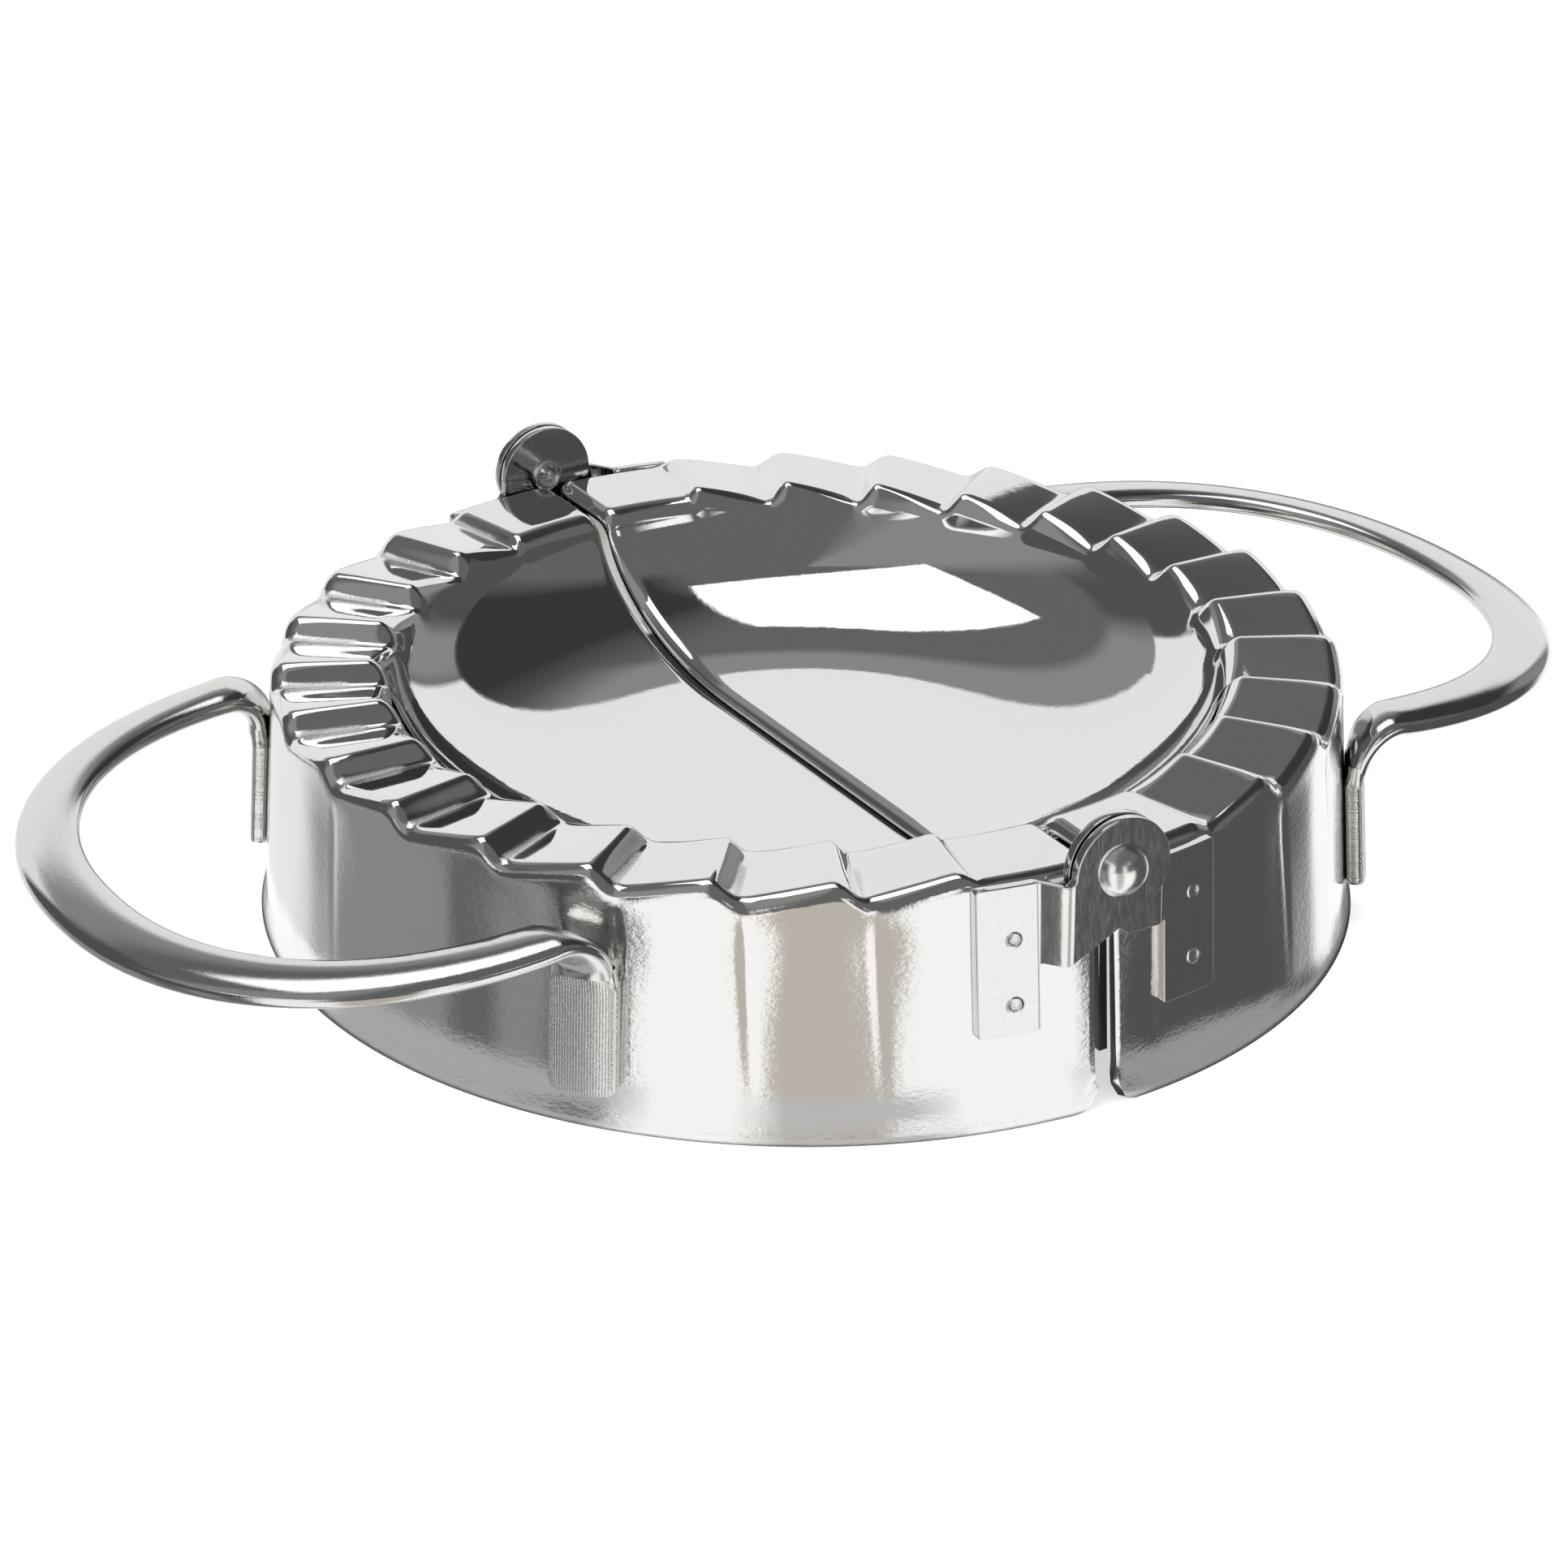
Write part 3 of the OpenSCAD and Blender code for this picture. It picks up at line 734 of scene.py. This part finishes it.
# %% Make a leaf
def make_leaf(name, body, node, outer, bore, flip):
    if outer:
        lug_x = lug_r + joggle_clear
        x0, width, top_z = lug_x + joggle_w, outer_plate_w, rim_z - outer_drop
        neck_z, lug_y = rim_z - outer_neck_h, outer_lug_y
        low = (-lug_x, neck_z)
    else:
        lug_x = lug_r
        x0, width, top_z = lug_x + inner_joggle_w, inner_plate_w, rim_z - inner_drop
        neck_z, lug_y = rim_z - inner_neck_h, inner_lug_y
        low = (-lug_r / 3, neck_z)
    outline = leaf_outline(x0, width, top_z, neck_z, low, lug_x)
    piece = disc(name, len(outline), 1)
    set_points(piece, [(x * MM, 0, z * MM) for x, z in outline])
    edit(piece)
    extrude_by((0, -leaf_t, 0))
    leave_edit()
    face_outwards(piece)
    drill(piece, bore)
    apply_modifier(piece, "BEVEL", width=0.14 * MM, segments=3, limit_method="ANGLE",
                   angle_limit=math.radians(50), use_clamp_overlap=False)
    plate_cuts = np.linspace(-x0 - width + 0.8, -x0 - 0.7, 8)
    step_cuts = np.linspace(-x0 - 0.3, -lug_x + 0.5, 15)
    cut_across(piece, [*plate_cuts, *step_cuts])
    points = points_of(piece) / MM
    points[:, 1] = -stands_at(points[:, 0], -points[:, 1], points[:, 2], x0, lug_x, lug_y)
    set_points(piece, points * MM * np.array(flip))
    face_outwards(piece)
    finish_piece(piece, body, node, 60)
    apply_modifier(piece, "WEIGHTED_NORMAL", keep_sharp=True)
    return piece


turning = rivet_d + 2 * rivet_clear
outer, inner = True, False
front_outer = make_leaf("front_outer_hinge", "left_half", "front_outer_leaf", outer, rivet_d, (1, 1, 1))
front_inner = make_leaf("front_inner_hinge", "right_half", "front_inner_leaf", inner, turning, (-1, 1, 1))
back_outer = make_leaf("back_outer_hinge", "right_half", "back_outer_leaf", outer, turning, (-1, -1, 1))
back_inner = make_leaf("back_inner_hinge", "left_half", "back_inner_leaf", inner, rivet_d, (1, -1, 1))

# %% [markdown]
# ## The rivets
# A rivet's section is drawn as a chain, from the middle of its domed head down the shank, round
# the rolled end and into the hollow, where the punch left a small cone. Spin does the rest.

# %% Make a rivet
hollow_r = 1.1
hollow_h = 0.8
cone_h = 0.45


def rivet_section(head_play, roll_play):
    head_y = outer_lug_y + leaf_t + head_play
    roll_y = inner_lug_y - roll_play
    dome_r = ((head_d / 2) ** 2 + head_h ** 2) / (2 * head_h)
    dome_turn = math.acos((dome_r - head_h) / dome_r)
    edge = 0.25
    chain = []
    for k in range(15):
        a = dome_turn * 0.97 * k / 14
        chain.append((dome_r * math.sin(a), head_y + head_h - dome_r * (1 - math.cos(a))))
    for k in range(1, 6):
        a = math.pi / 2 * k / 5
        rim = head_d / 2 - 0.01 - edge * (1 - math.cos(a))
        chain.append((rim, head_y + edge * (1 - math.sin(a)) * 0.5))
    chain += [(2.2, head_y), (rivet_d / 2, head_y), (rivet_d / 2, roll_y)]
    for k in range(10):
        a = math.pi * k / 9
        chain.append((rivet_d / 2 + roll_w * math.cos(a), roll_y - roll_seat - roll_w * math.sin(a)))
    floor_y = roll_y + hollow_h - 0.2
    chain += [(hollow_r + 0.03, roll_y), (hollow_r, floor_y - 0.1), (hollow_r - 0.15, floor_y)]
    chain += [(0.35, floor_y - cone_h * 0.6), (0.0, floor_y - cone_h)]
    return chain


def make_rivet(name, node, head_play, roll_play, flip):
    chain = [(r, -y, axis_z) for r, y in rivet_section(head_play, roll_play)]
    middle = (0, 0, axis_z * MM)
    piece = spun_chain(name, chain, steps=64, angle=2 * math.pi, center=middle, axis=(0, 1, 0))
    set_points(piece, points_of(piece) * np.array(flip))
    join_close(piece, 0.002)
    finish_piece(piece, "left_half", node, 40)
    return piece


front_pin = make_rivet("front_pin", "front_rivet", 0, end_play, (1, 1, 1))
back_pin = make_rivet("back_pin", "back_rivet", end_play, 0, (1, -1, 1))

# %% [markdown]
# ## Shader maths
# Patterns on metal are sums and products of simple fields: distance round the skirt, height,
# noise. One small class lets them be written as Python expressions, and each operator adds its
# own Math node.

# %% Expressions that become nodes
class Field:
    def __init__(self, tree, socket):
        self.tree = tree
        self.socket = socket

    def math(self, operation, *others, clamp=False):
        node = self.tree.nodes.new("ShaderNodeMath")
        node.operation = operation
        node.use_clamp = clamp
        for k, value in enumerate((self, *others)):
            put(self.tree, node.inputs[k], value)
        return Field(self.tree, node.outputs[0])

    def __add__(self, other):
        return self.math("ADD", other)

    __radd__ = __add__

    def __mul__(self, other):
        return self.math("MULTIPLY", other)

    __rmul__ = __mul__

    def __sub__(self, other):
        return self.math("SUBTRACT", other)

    def __rsub__(self, other):
        return (self * -1) + other

    def __truediv__(self, other):
        return self.math("DIVIDE", other)

    def __pow__(self, other):
        return self.math("POWER", other)

    def clamped(self):
        return self.math("ADD", 0.0, clamp=True)

    def step(self, start, end):
        return ((self - start) * (1 / (end - start))).clamped()


def put(tree, socket, value):
    if isinstance(value, Field):
        tree.links.new(value.socket, socket)
    else:
        socket.default_value = value


def node(tree, kind, settings=None, inputs=None, output=0):
    made = tree.nodes.new(kind)
    for name, value in (settings or {}).items():
        setattr(made, name, value)
    for name, value in (inputs or {}).items():
        put(tree, made.inputs[name], value)
    return Field(tree, made.outputs[output]) if made.outputs else made


print("shader expressions are ready")

# %% Fields and steps that several finishes share
def new_material(name):
    material = bpy.data.materials.new(name)
    material.use_nodes = True
    return material, material.node_tree


def place_fields(tree):
    place = node(tree, "ShaderNodeTexCoord", output="Object")
    parts = node(tree, "ShaderNodeSeparateXYZ", inputs={"Vector": place}).socket.node
    return [Field(tree, parts.outputs[axis]) * (1 / MM) for axis in "XYZ"]


def noise(tree, x, y, z, scale, detail=2.0, rough=0.5):
    spot = node(tree, "ShaderNodeCombineXYZ", inputs={"X": x, "Y": y, "Z": z})
    inputs = {"Vector": spot, "Scale": scale, "Detail": detail, "Roughness": rough}
    return node(tree, "ShaderNodeTexNoise", inputs=inputs)


def painted(tree, name):
    return node(tree, "ShaderNodeAttribute", {"attribute_name": name}, output="Fac")


def grey_mix(tree, factor, first, second):
    made = tree.nodes.new("ShaderNodeMix")
    made.data_type = "RGBA"
    put(tree, made.inputs["Factor"], factor)
    made.inputs["A"].default_value = (*first, 1.0)
    made.inputs["B"].default_value = (*second, 1.0)
    return Field(tree, made.outputs["Result"])


def set_metal(tree, colour, rough, height, strength, distance):
    relief = {"Height": height, "Strength": strength, "Distance": distance * MM}
    inputs = {"Base Color": colour, "Roughness": rough, "Metallic": 1.0}
    inputs["Normal"] = node(tree, "ShaderNodeBump", inputs=relief)
    for name, value in inputs.items():
        put(tree, tree.nodes["Principled BSDF"].inputs[name], value)


def dress(pieces, material):
    for piece in pieces:
        piece.data.materials.append(material)
    print(len(pieces), "pieces in", material.name)


print("patterns are measured in millimetres")

# %% [markdown]
# ## Shell steel
# The dishes are polished to a mirror. Nothing is quite flat, though: the skirt keeps a fine
# mottling, a little drawn out round it, with faint upright streaks, and all of the sheet has a
# slight orange peel. Where the press tool has stretched the sheet, along the valleys between the
# teeth, it is rough and bright. That worn line is painted once as an attribute of the mesh,
# because it follows the teeth.

# %% Worn lines along the valleys
wear_shift = 0.35
wear_w = 0.42


def paint_wear(piece, side, strength):
    points = points_of(piece) / MM * np.array((side, side, 1))
    r, turn = polar(points)
    ends = np.degrees(np.arccos(np.clip(edge_x / np.maximum(r, edge_x), -1, 1)))
    station = turn * skirt_turn / np.maximum(ends, 1)
    wear = np.zeros(len(points))
    for k, valley in enumerate(valley_turns):
        away = np.radians(np.abs(station - valley + wear_shift)) * r
        wear = np.maximum(wear, strength(k) * np.exp(-(away / wear_w) ** 2))
    on_rim = np.clip((r - 50.6) / 1.2, 0, 1) * np.clip((59.2 - r) / 1.0, 0, 1) * (points[:, 2] > 25.6)
    store(piece, "wear", wear * on_rim)


paint_wear(right_dish, 1, lambda k: 0.22 if k % 3 else 0.35)
paint_wear(left_dish, -1, lambda k: 1.0 if 2 <= k <= 9 else 0.8)
print("valleys painted on both dishes")

# %% Shell steel
def shell_steel():
    material, tree = new_material("shell_steel_mirror")
    x, y, z = place_fields(tree)
    around = y.math("ARCTAN2", x) * ring_r
    radius = (x * x + y * y).math("SQRT")
    on_skirt = radius.step(59.3, 59.9)
    wear = painted(tree, "wear")
    lines = noise(tree, around * 0.6, z, radius * 0.02, 2.2, 3.0, 0.65)
    peel = noise(tree, x, y, z, 0.9, 3.0, 0.55)
    speck = noise(tree, x, y, z, 6.0, 2.0, 0.6)
    crackle = noise(tree, x, y, z, 3.4, 4.0, 0.7)
    streaks = noise(tree, around, z * 0.06, 0.0, 0.35, 3.0, 0.6)
    polish = 0.03 + speck.step(0.55, 0.8) * 0.03 + on_skirt * (0.03 + lines.step(0.35, 0.75) * 0.07)
    polish = polish + on_skirt * streaks.step(0.45, 0.8) * 0.06
    rough = polish + wear * 0.3
    worn = (wear * (0.4 + crackle)).clamped()
    colour = grey_mix(tree, worn, (0.80, 0.79, 0.775), (0.93, 0.92, 0.90))
    height = peel * 0.3 + on_skirt * lines * 2.4 + wear * crackle * 8
    set_metal(tree, colour, rough, height, 0.5, 0.02)
    return material


dress((right_dish, left_dish), shell_steel())

# %% [markdown]
# ## Handle steel
# The bars were tumbled, so they have a satin face with a fine grain. The feet were squeezed
# between ribbed electrodes, which left about two dozen broken ribs running up each foot.

# %% Handle steel
rib_gap = 0.32


def handle_steel():
    material, tree = new_material("handle_steel_satin")
    x, y, z = place_fields(tree)
    across, along, foot = [painted(tree, name) for name in ("across", "along", "foot")]
    grain = noise(tree, x, y, z, 4.5, 3.0, 0.65)
    drawn = noise(tree, along * 0.12, across, z * 0.1, 2.6, 3.0, 0.6)
    cloudy = noise(tree, x, y, z, 0.22, 2.0, 0.5)
    wobble = noise(tree, across, along, 0.0, 0.5, 2.0, 0.5)
    ribs = (across * (2 * math.pi / rib_gap) + wobble * 2.2).math("SINE").step(-0.5, 0.7)
    broken = noise(tree, across * 2.2, along * 3.4, 0.0, 1.0, 3.0, 0.6).step(0.36, 0.56)
    cloth = foot.step(0.4, 0.9) * ribs * broken
    rough = 0.035 + grain.step(0.35, 0.75) * 0.06 + cloudy.step(0.45, 0.7) * 0.04 + foot * 0.16
    shade = (drawn * 0.5 + grain * 0.5).step(0.3, 0.75)
    bright = (shade * 0.7 + cloth * 0.3).clamped()
    colour = grey_mix(tree, bright, (0.70, 0.69, 0.67), (0.80, 0.79, 0.78))
    height = grain * 1.4 + drawn * 0.5 + cloth * 11
    set_metal(tree, colour, rough, height, 0.5, 0.012)
    return material


dress((right_bar, left_bar), handle_steel())

# %% [markdown]
# ## Hinge steel
# The leaves are cut from sheet a hair thicker than the dishes' and lightly polished. Two spot
# welds hold each plate, and each is a small crater with a raised lip.

# %% Hinge steel
weld_x = 11.2
weld_low_z = 14.5
weld_high_z = 21.9


def crater(x, z, place_x, place_z, size):
    away = ((x.math("ABSOLUTE") - place_x) ** 2.0 + (z - place_z) ** 2.0).math("SQRT") / size
    lip = (away - 1.0).math("ABSOLUTE").step(0.35, 0.0)
    pit = away.step(0.8, 0.2)
    return lip - pit * 0.8, away.step(1.5, 1.0)


def hinge_steel():
    material, tree = new_material("hinge_steel_satin")
    x, y, z = place_fields(tree)
    fine = noise(tree, x, y * 0.3, z * 0.12, 4.0, 3.0, 0.6)
    peel = noise(tree, x, y, z, 1.6, 3.0, 0.55)
    scratches = noise(tree, x * 0.15, y, z * 2.4, 2.2, 2.0, 0.6)
    ring_low, near_low = crater(x, z, weld_x, weld_low_z, 0.75)
    ring_high, near_high = crater(x, z, weld_x, weld_high_z, 0.7)
    burnt = noise(tree, x, y, z, 3.0, 3.0, 0.7)
    singed = (near_low + near_high) * burnt
    rough = 0.08 + fine.step(0.35, 0.75) * 0.09 + singed * 0.3
    shade = (fine * 0.5 + peel * 0.5).step(0.3, 0.7)
    colour = grey_mix(tree, shade, (0.72, 0.71, 0.70), (0.80, 0.79, 0.78))
    height = fine * 0.15 + peel * 0.7 + scratches * 0.15 + (ring_low + ring_high) * 7 + singed * 4
    set_metal(tree, colour, rough, height, 0.6, 0.018)
    return material


dress((front_outer, front_inner, back_outer, back_inner), hinge_steel())

# %% [markdown]
# ## Rivet steel
# The domed heads are paler than the leaves round them, and their shine is softer. They have very
# fine rings and a few nicks.

# %% Rivet steel
def rivet_steel():
    material, tree = new_material("rivet_steel_polished")
    x, y, z = place_fields(tree)
    from_axis = (x * x + (z - axis_z) * (z - axis_z)).math("SQRT")
    rings = noise(tree, from_axis, 0.0, 0.0, 5.0, 2.0, 0.6)
    nicks = noise(tree, x, y, z, 2.6, 3.0, 0.65)
    rough = 0.2 + rings.step(0.4, 0.75) * 0.06 + nicks.step(0.6, 0.8) * 0.12
    colour = grey_mix(tree, nicks.step(0.35, 0.7), (0.80, 0.79, 0.78), (0.87, 0.86, 0.85))
    set_metal(tree, colour, rough, rings * 0.5 + nicks, 0.5, 0.015)
    return material


dress((front_pin, back_pin), rivet_steel())

# %% [markdown]
# ## The studio
# Mirror steel shows the room more than itself, so the room is half of the picture. The floor is
# pale and catches a faint shadow. What the steel sees is told by the world: a large soft box
# overhead, a pale backdrop low behind the press, two strips of light at the front, one on each
# side of the camera, and a grey room with cards elsewhere. The camera itself sees plain white.

# %% Floor
bpy.ops.mesh.primitive_plane_add(size=8, location=(0, 0, -0.02 * MM))
floor = bpy.context.object
floor.name = "floor"
floor.visible_glossy = False
paper_glow = 0.62
paper, paper_tree = new_material("paper")
paper_tree.nodes.clear()
sight = node(paper_tree, "ShaderNodeLightPath", output="Is Camera Ray")
cloth_white = node(paper_tree, "ShaderNodeBsdfDiffuse", inputs={"Color": (0.8, 0.8, 0.8, 1)})
own_light = node(paper_tree, "ShaderNodeEmission", inputs={"Strength": sight * paper_glow})
both = node(paper_tree, "ShaderNodeAddShader", inputs={0: cloth_white, 1: own_light})
node(paper_tree, "ShaderNodeOutputMaterial", inputs={"Surface": both})
floor.data.materials.append(paper)
print("floor", round(floor.dimensions.x, 1), "m wide")

# %% [markdown]
# The room is a dim grey. Cards stand round the press, as in a studio: pale ones that light it and
# dark ones that give its edges a line. A card is told by its name, the compass points between
# which it stands, how soft its sides are, the heights between which it reaches, and its paint.
# All of these are in degrees but the name and the paint. Compass points go clockwise from
# straight behind the press, and the camera stands at 211. Later cards cover earlier ones. A paint
# is the tone that it shows in the steel, which gives back about 80 per cent of the light.

# %% Cards round the press
paints = {"white": 0.96, "pale": 0.88, "light": 0.72, "grey": 0.52, "dim": 0.38, "dark": 0.31}
paints["black"] = 0.21
cards = [
    ("back wall", 335, 42, 5, 24, 41, "grey"),
    ("right wall", 46, 106, 8, -1, 70, "black"),
    ("left wall", 230, 298, 9, 24, 100, "grey"),
    ("far left corner", 304, 340, 8, -1, 42, "dark"),
    ("right shelf", 61, 88, 4, -1, 27, "dim"),
]
standing = [
    ("floor cloth", 0, 360, 1, -90, 0, "grey"),
    ("right of the backdrop", 60, 82, 5, 0, 28, "grey"),
    ("right gap", 86, 168, 8, 0, 28, "dark"),
    ("left gap", 254, 343, 3, 0, 28, "dark"),
    ("backdrop", 343.5, 59.5, 1, 0, 35, "pale"),
    ("front flap, right", 184, 196, 3, 0, 28, "white"),
    ("front flap, left", 229, 252, 4, 0, 28, "white"),
    ("back sheet", 335, 28, 10, -90, 0, "pale"),
    ("right sheet", 48, 80, 4, -90, 0, "white"),
    ("right cloth", 88, 149.5, 3, -90, 0, "dark"),
    ("front sheet, right", 150.5, 194.5, 1, -90, 0, "white"),
    ("camera side", 194.5, 220.5, 1, -90, 0, "light"),
    ("front sheet, left", 220.5, 250, 1, -90, 0, "white"),
    ("left cloth", 252, 290, 3, -90, 0, "dim"),
    ("left strip", 264, 276, 4, -90, 0, "grey"),
]


def as_light(shown):
    return (((shown + 0.055) / 1.055) ** 2.4) / 0.8


world = bpy.data.worlds.new("studio")
bpy.context.scene.world = world
world.use_nodes = True
sky = world.node_tree
sky.nodes.clear()
print(len(cards) + len(standing), "cards in", len(paints), "paints")

# %% [markdown]
# Every direction has a compass point and a height, the sine of its slope. The cards in the first
# list hang above the backdrop's upper edge, and those in the second list stand below it.

# %% Put up the cards
look = node(sky, "ShaderNodeTexCoord", output="Generated")
axes = node(sky, "ShaderNodeSeparateXYZ", inputs={"Vector": look}).socket.node
east, north, height = [Field(sky, axes.outputs[axis]) for axis in "XYZ"]
compass = (east.math("ARCTAN2", north) * (1 / (2 * math.pi)) + 1.0).math("FRACT")


def blend(factor, low, high):
    made = sky.nodes.new("ShaderNodeMix")
    made.data_type = "FLOAT"
    for name, value in (("Factor", factor), ("A", low), ("B", high)):
        put(sky, made.inputs[name], value)
    return Field(sky, made.outputs["Result"])


def between(turn, start, end, soft):
    width = (end - start) % 360 or 360
    middle = (start + width / 2) / 360
    away = ((turn + (1.5 - middle)).math("FRACT") - 0.5).math("ABSOLUTE") * 360
    return away.step(width / 2 + soft, width / 2 - soft)


def put_up(light, card):
    name, start, end, soft, low, high, paint = card
    share = between(compass, start, end, soft)
    for up, half_soft in ((low, 0.02), (high, -0.02)):
        if abs(up) < 90:
            sine = math.sin(math.radians(up))
            share = share * height.step(sine - half_soft, sine + half_soft)
    return blend(share, light, as_light(paints[paint]))


above = as_light(paints["dim"])
for card in cards:
    above = put_up(above, card)
below = above
for card in standing:
    below = put_up(below, card)
backdrop_edge = [(0, 29), (14, 31.5), (24, 32.5), (38, 32), (52, 28.5), (61, 27), (345, 28)]
edge_height = node(sky, "ShaderNodeValToRGB", inputs={"Fac": compass}, output="Color")
stops = edge_height.socket.node.color_ramp.elements
while len(stops) < len(backdrop_edge):
    stops.new(1.0)
for stop, (turn, up) in zip(stops, backdrop_edge):
    stop.position = turn / 360
    stop.color = (*[math.sin(math.radians(up))] * 3, 1.0)
room = blend((height - edge_height).step(-0.006, 0.006), below, above)
print("backdrop reaches", max(up for turn, up in backdrop_edge), "degrees up")

# %% [markdown]
# The soft box is a flat five-sided sheet of light, so it is told in plan: a direction's slant
# east and north for each step up. Five straight edges bound it, each a little blurred. The strips
# of light hang at one height, and a gap round the camera parts them.

# %% Soft box and strips of light
slant_east = east / height.math("MAXIMUM", 0.01)
slant_north = north / height.math("MAXIMUM", 0.01)
box_corners = [(-0.325, 0.12), (0.33, 0.07), (0.43, 0.60), (0.30, 0.72), (-0.15, 0.73)]
inside = height.step(0.3, 0.35)
for k, (ax, ay) in enumerate(box_corners):
    bx, by = box_corners[(k + 1) % len(box_corners)]
    length = math.hypot(bx - ax, by - ay)
    nx = -(by - ay) / length
    ny = (bx - ax) / length
    past_edge = slant_east * nx + slant_north * ny - (ax * nx + ay * ny)
    inside = inside * past_edge.step(-0.006, 0.006)
strip_sine = math.sin(math.radians(31))
strips = (height - strip_sine).math("ABSOLUTE").step(0.035, 0.025)
strips = strips * (compass - 0.6).math("ABSOLUTE").step(0.16, 0.14)
strips = strips * (compass - 0.575).math("ABSOLUTE").step(0.075, 0.09)
strip_light = 1.15
box_light = 1.5
seen = blend(inside, blend(strips, room, strip_light), box_light)
print("soft box of", len(box_corners), "corners")

# %% [markdown]
# Mirror rays see the studio, the camera sees plain white, and all other rays meet one even light.
# Low in front, on the camera's side, the studio's light is a little warm.

# %% World
even_light = 0.55
paths = node(sky, "ShaderNodeLightPath").socket.node
camera_ray = Field(sky, paths.outputs["Is Camera Ray"])
glossy_ray = Field(sky, paths.outputs["Is Glossy Ray"])
strength = blend(glossy_ray, even_light, seen)
strength = blend(camera_ray, strength, 1.0)
warm_side = (compass - 0.577).math("ABSOLUTE").step(0.040, 0.037) * height.step(0.02, -0.02)
tint = grey_mix(sky, warm_side, (1, 1, 1), (1, 0.93, 0.85))
light = node(sky, "ShaderNodeBackground", inputs={"Color": tint, "Strength": strength})
node(sky, "ShaderNodeOutputWorld", inputs={"Surface": light})
print("the soft box shines at", box_light, "and the strips at", strip_light)

# %% [markdown]
# The press stands close over the paper, so the lowest few millimetres of the skirt see the paper
# and not the room. A shaped disc, seen only in reflections, glows as a painted reflection of the
# lit paper. Its glow is a painted shadow under the press, and round it three sectors are dimmed by
# a mild painted shade.

# %% Painted reflection of the paper near the press
near_r = 74
painted_paper_reflection = disc("painted_paper_reflection", 96, near_r, -0.1)
painted_paper_reflection.visible_camera = False
painted_paper_reflection.visible_diffuse = False
painted_paper_reflection.visible_shadow = False
near_finish, near_tree = new_material("painted_paper_reflection")
near_tree.nodes.clear()
px, py = place_fields(near_tree)[:2]
near_turn = (px.math("ARCTAN2", py) * (1 / (2 * math.pi)) + 1.0).math("FRACT")
painted_paper_light = as_light(paints["white"])
# Painted shade: three sectors of the disc's glow are turned down to darker tones.
shades = [(117, 177, 4, 0.58), (196, 216, 3, paints["light"]), (231, 273, 3, 0.65)]
for start, end, soft, paint in shades:
    loss = as_light(paints["white"]) - as_light(paint)
    painted_paper_light = painted_paper_light - between(near_turn, start, end, soft) * loss
# Painted shadow: under the press the disc's glow drops to 6 per cent of its strength.
clear_of_painted_shadow = (px * px + py * py).math("SQRT").step(62.0, 63.2)
painted_paper_light = painted_paper_light * (clear_of_painted_shadow * 0.94 + 0.06)
glow = node(near_tree, "ShaderNodeEmission", inputs={"Strength": painted_paper_light})
node(near_tree, "ShaderNodeOutputMaterial", inputs={"Surface": glow})
painted_paper_reflection.data.materials.append(near_finish)
paper_edge = [(0, 65), (95, 64.5), (115, 64), (133, 63.5), (143, 64), (150, 66.5), (158, 70),
              (168, 72.7), (205, 74), (235, 74), (254, 72.7), (272, 70), (290, 67), (310, 65), (360, 65)]
corners = points_of(painted_paper_reflection) / MM
where = np.degrees(np.arctan2(corners[:, 0], corners[:, 1])) % 360
stretch = np.interp(where, *zip(*paper_edge)) / near_r
set_points(painted_paper_reflection, corners * MM * np.stack([stretch, stretch, np.ones(len(corners))], axis=1))
print("near paper", round(painted_paper_reflection.dimensions.x / MM), "mm across")

# %% [markdown]
# Two plain lamps light the paper and draw the faint shadow. They stay out of reflections, where
# the soft box of the world is seen instead.

# %% Lamps
def lamp(name, place, size, power):
    data = bpy.data.lights.new(name, "AREA")
    data.shape = "SQUARE"
    data.size = size
    data.energy = power
    made = bpy.data.objects.new(name, data)
    bpy.context.collection.objects.link(made)
    made.location = place
    made.rotation_euler = (-Vector(place)).to_track_quat("-Z", "Y").to_euler()
    made.visible_glossy = False
    made.visible_camera = False
    return made


lamp("overhead", (0.1, 0.25, 1.2), 0.9, 9)
lamp("left_fill", (-0.9, -0.5, 0.7), 0.6, 3)
print("two lamps")

# %% [markdown]
# ## The camera
# A long lens from the front left, looking down at about 26 degrees.

# %% Camera
view_turn = math.radians(-30.682)
view_tilt = math.radians(25.617)
lens_mm = 122.877
camera_data = bpy.data.cameras.new("photo_view")
camera_data.lens = lens_mm
camera_data.sensor_width = 36
camera_data.clip_start = 0.01
camera = bpy.data.objects.new("photo_view", camera_data)
bpy.context.collection.objects.link(camera)
camera.location = (-281.254 * MM, -469.114 * MM, 274.368 * MM)
camera.rotation_euler = (math.pi / 2 - view_tilt, 0, view_turn)
bpy.context.scene.camera = camera
bpy.context.scene.view_settings.view_transform = "Standard"
print("camera", round(camera.location.length / MM), "mm from the middle")
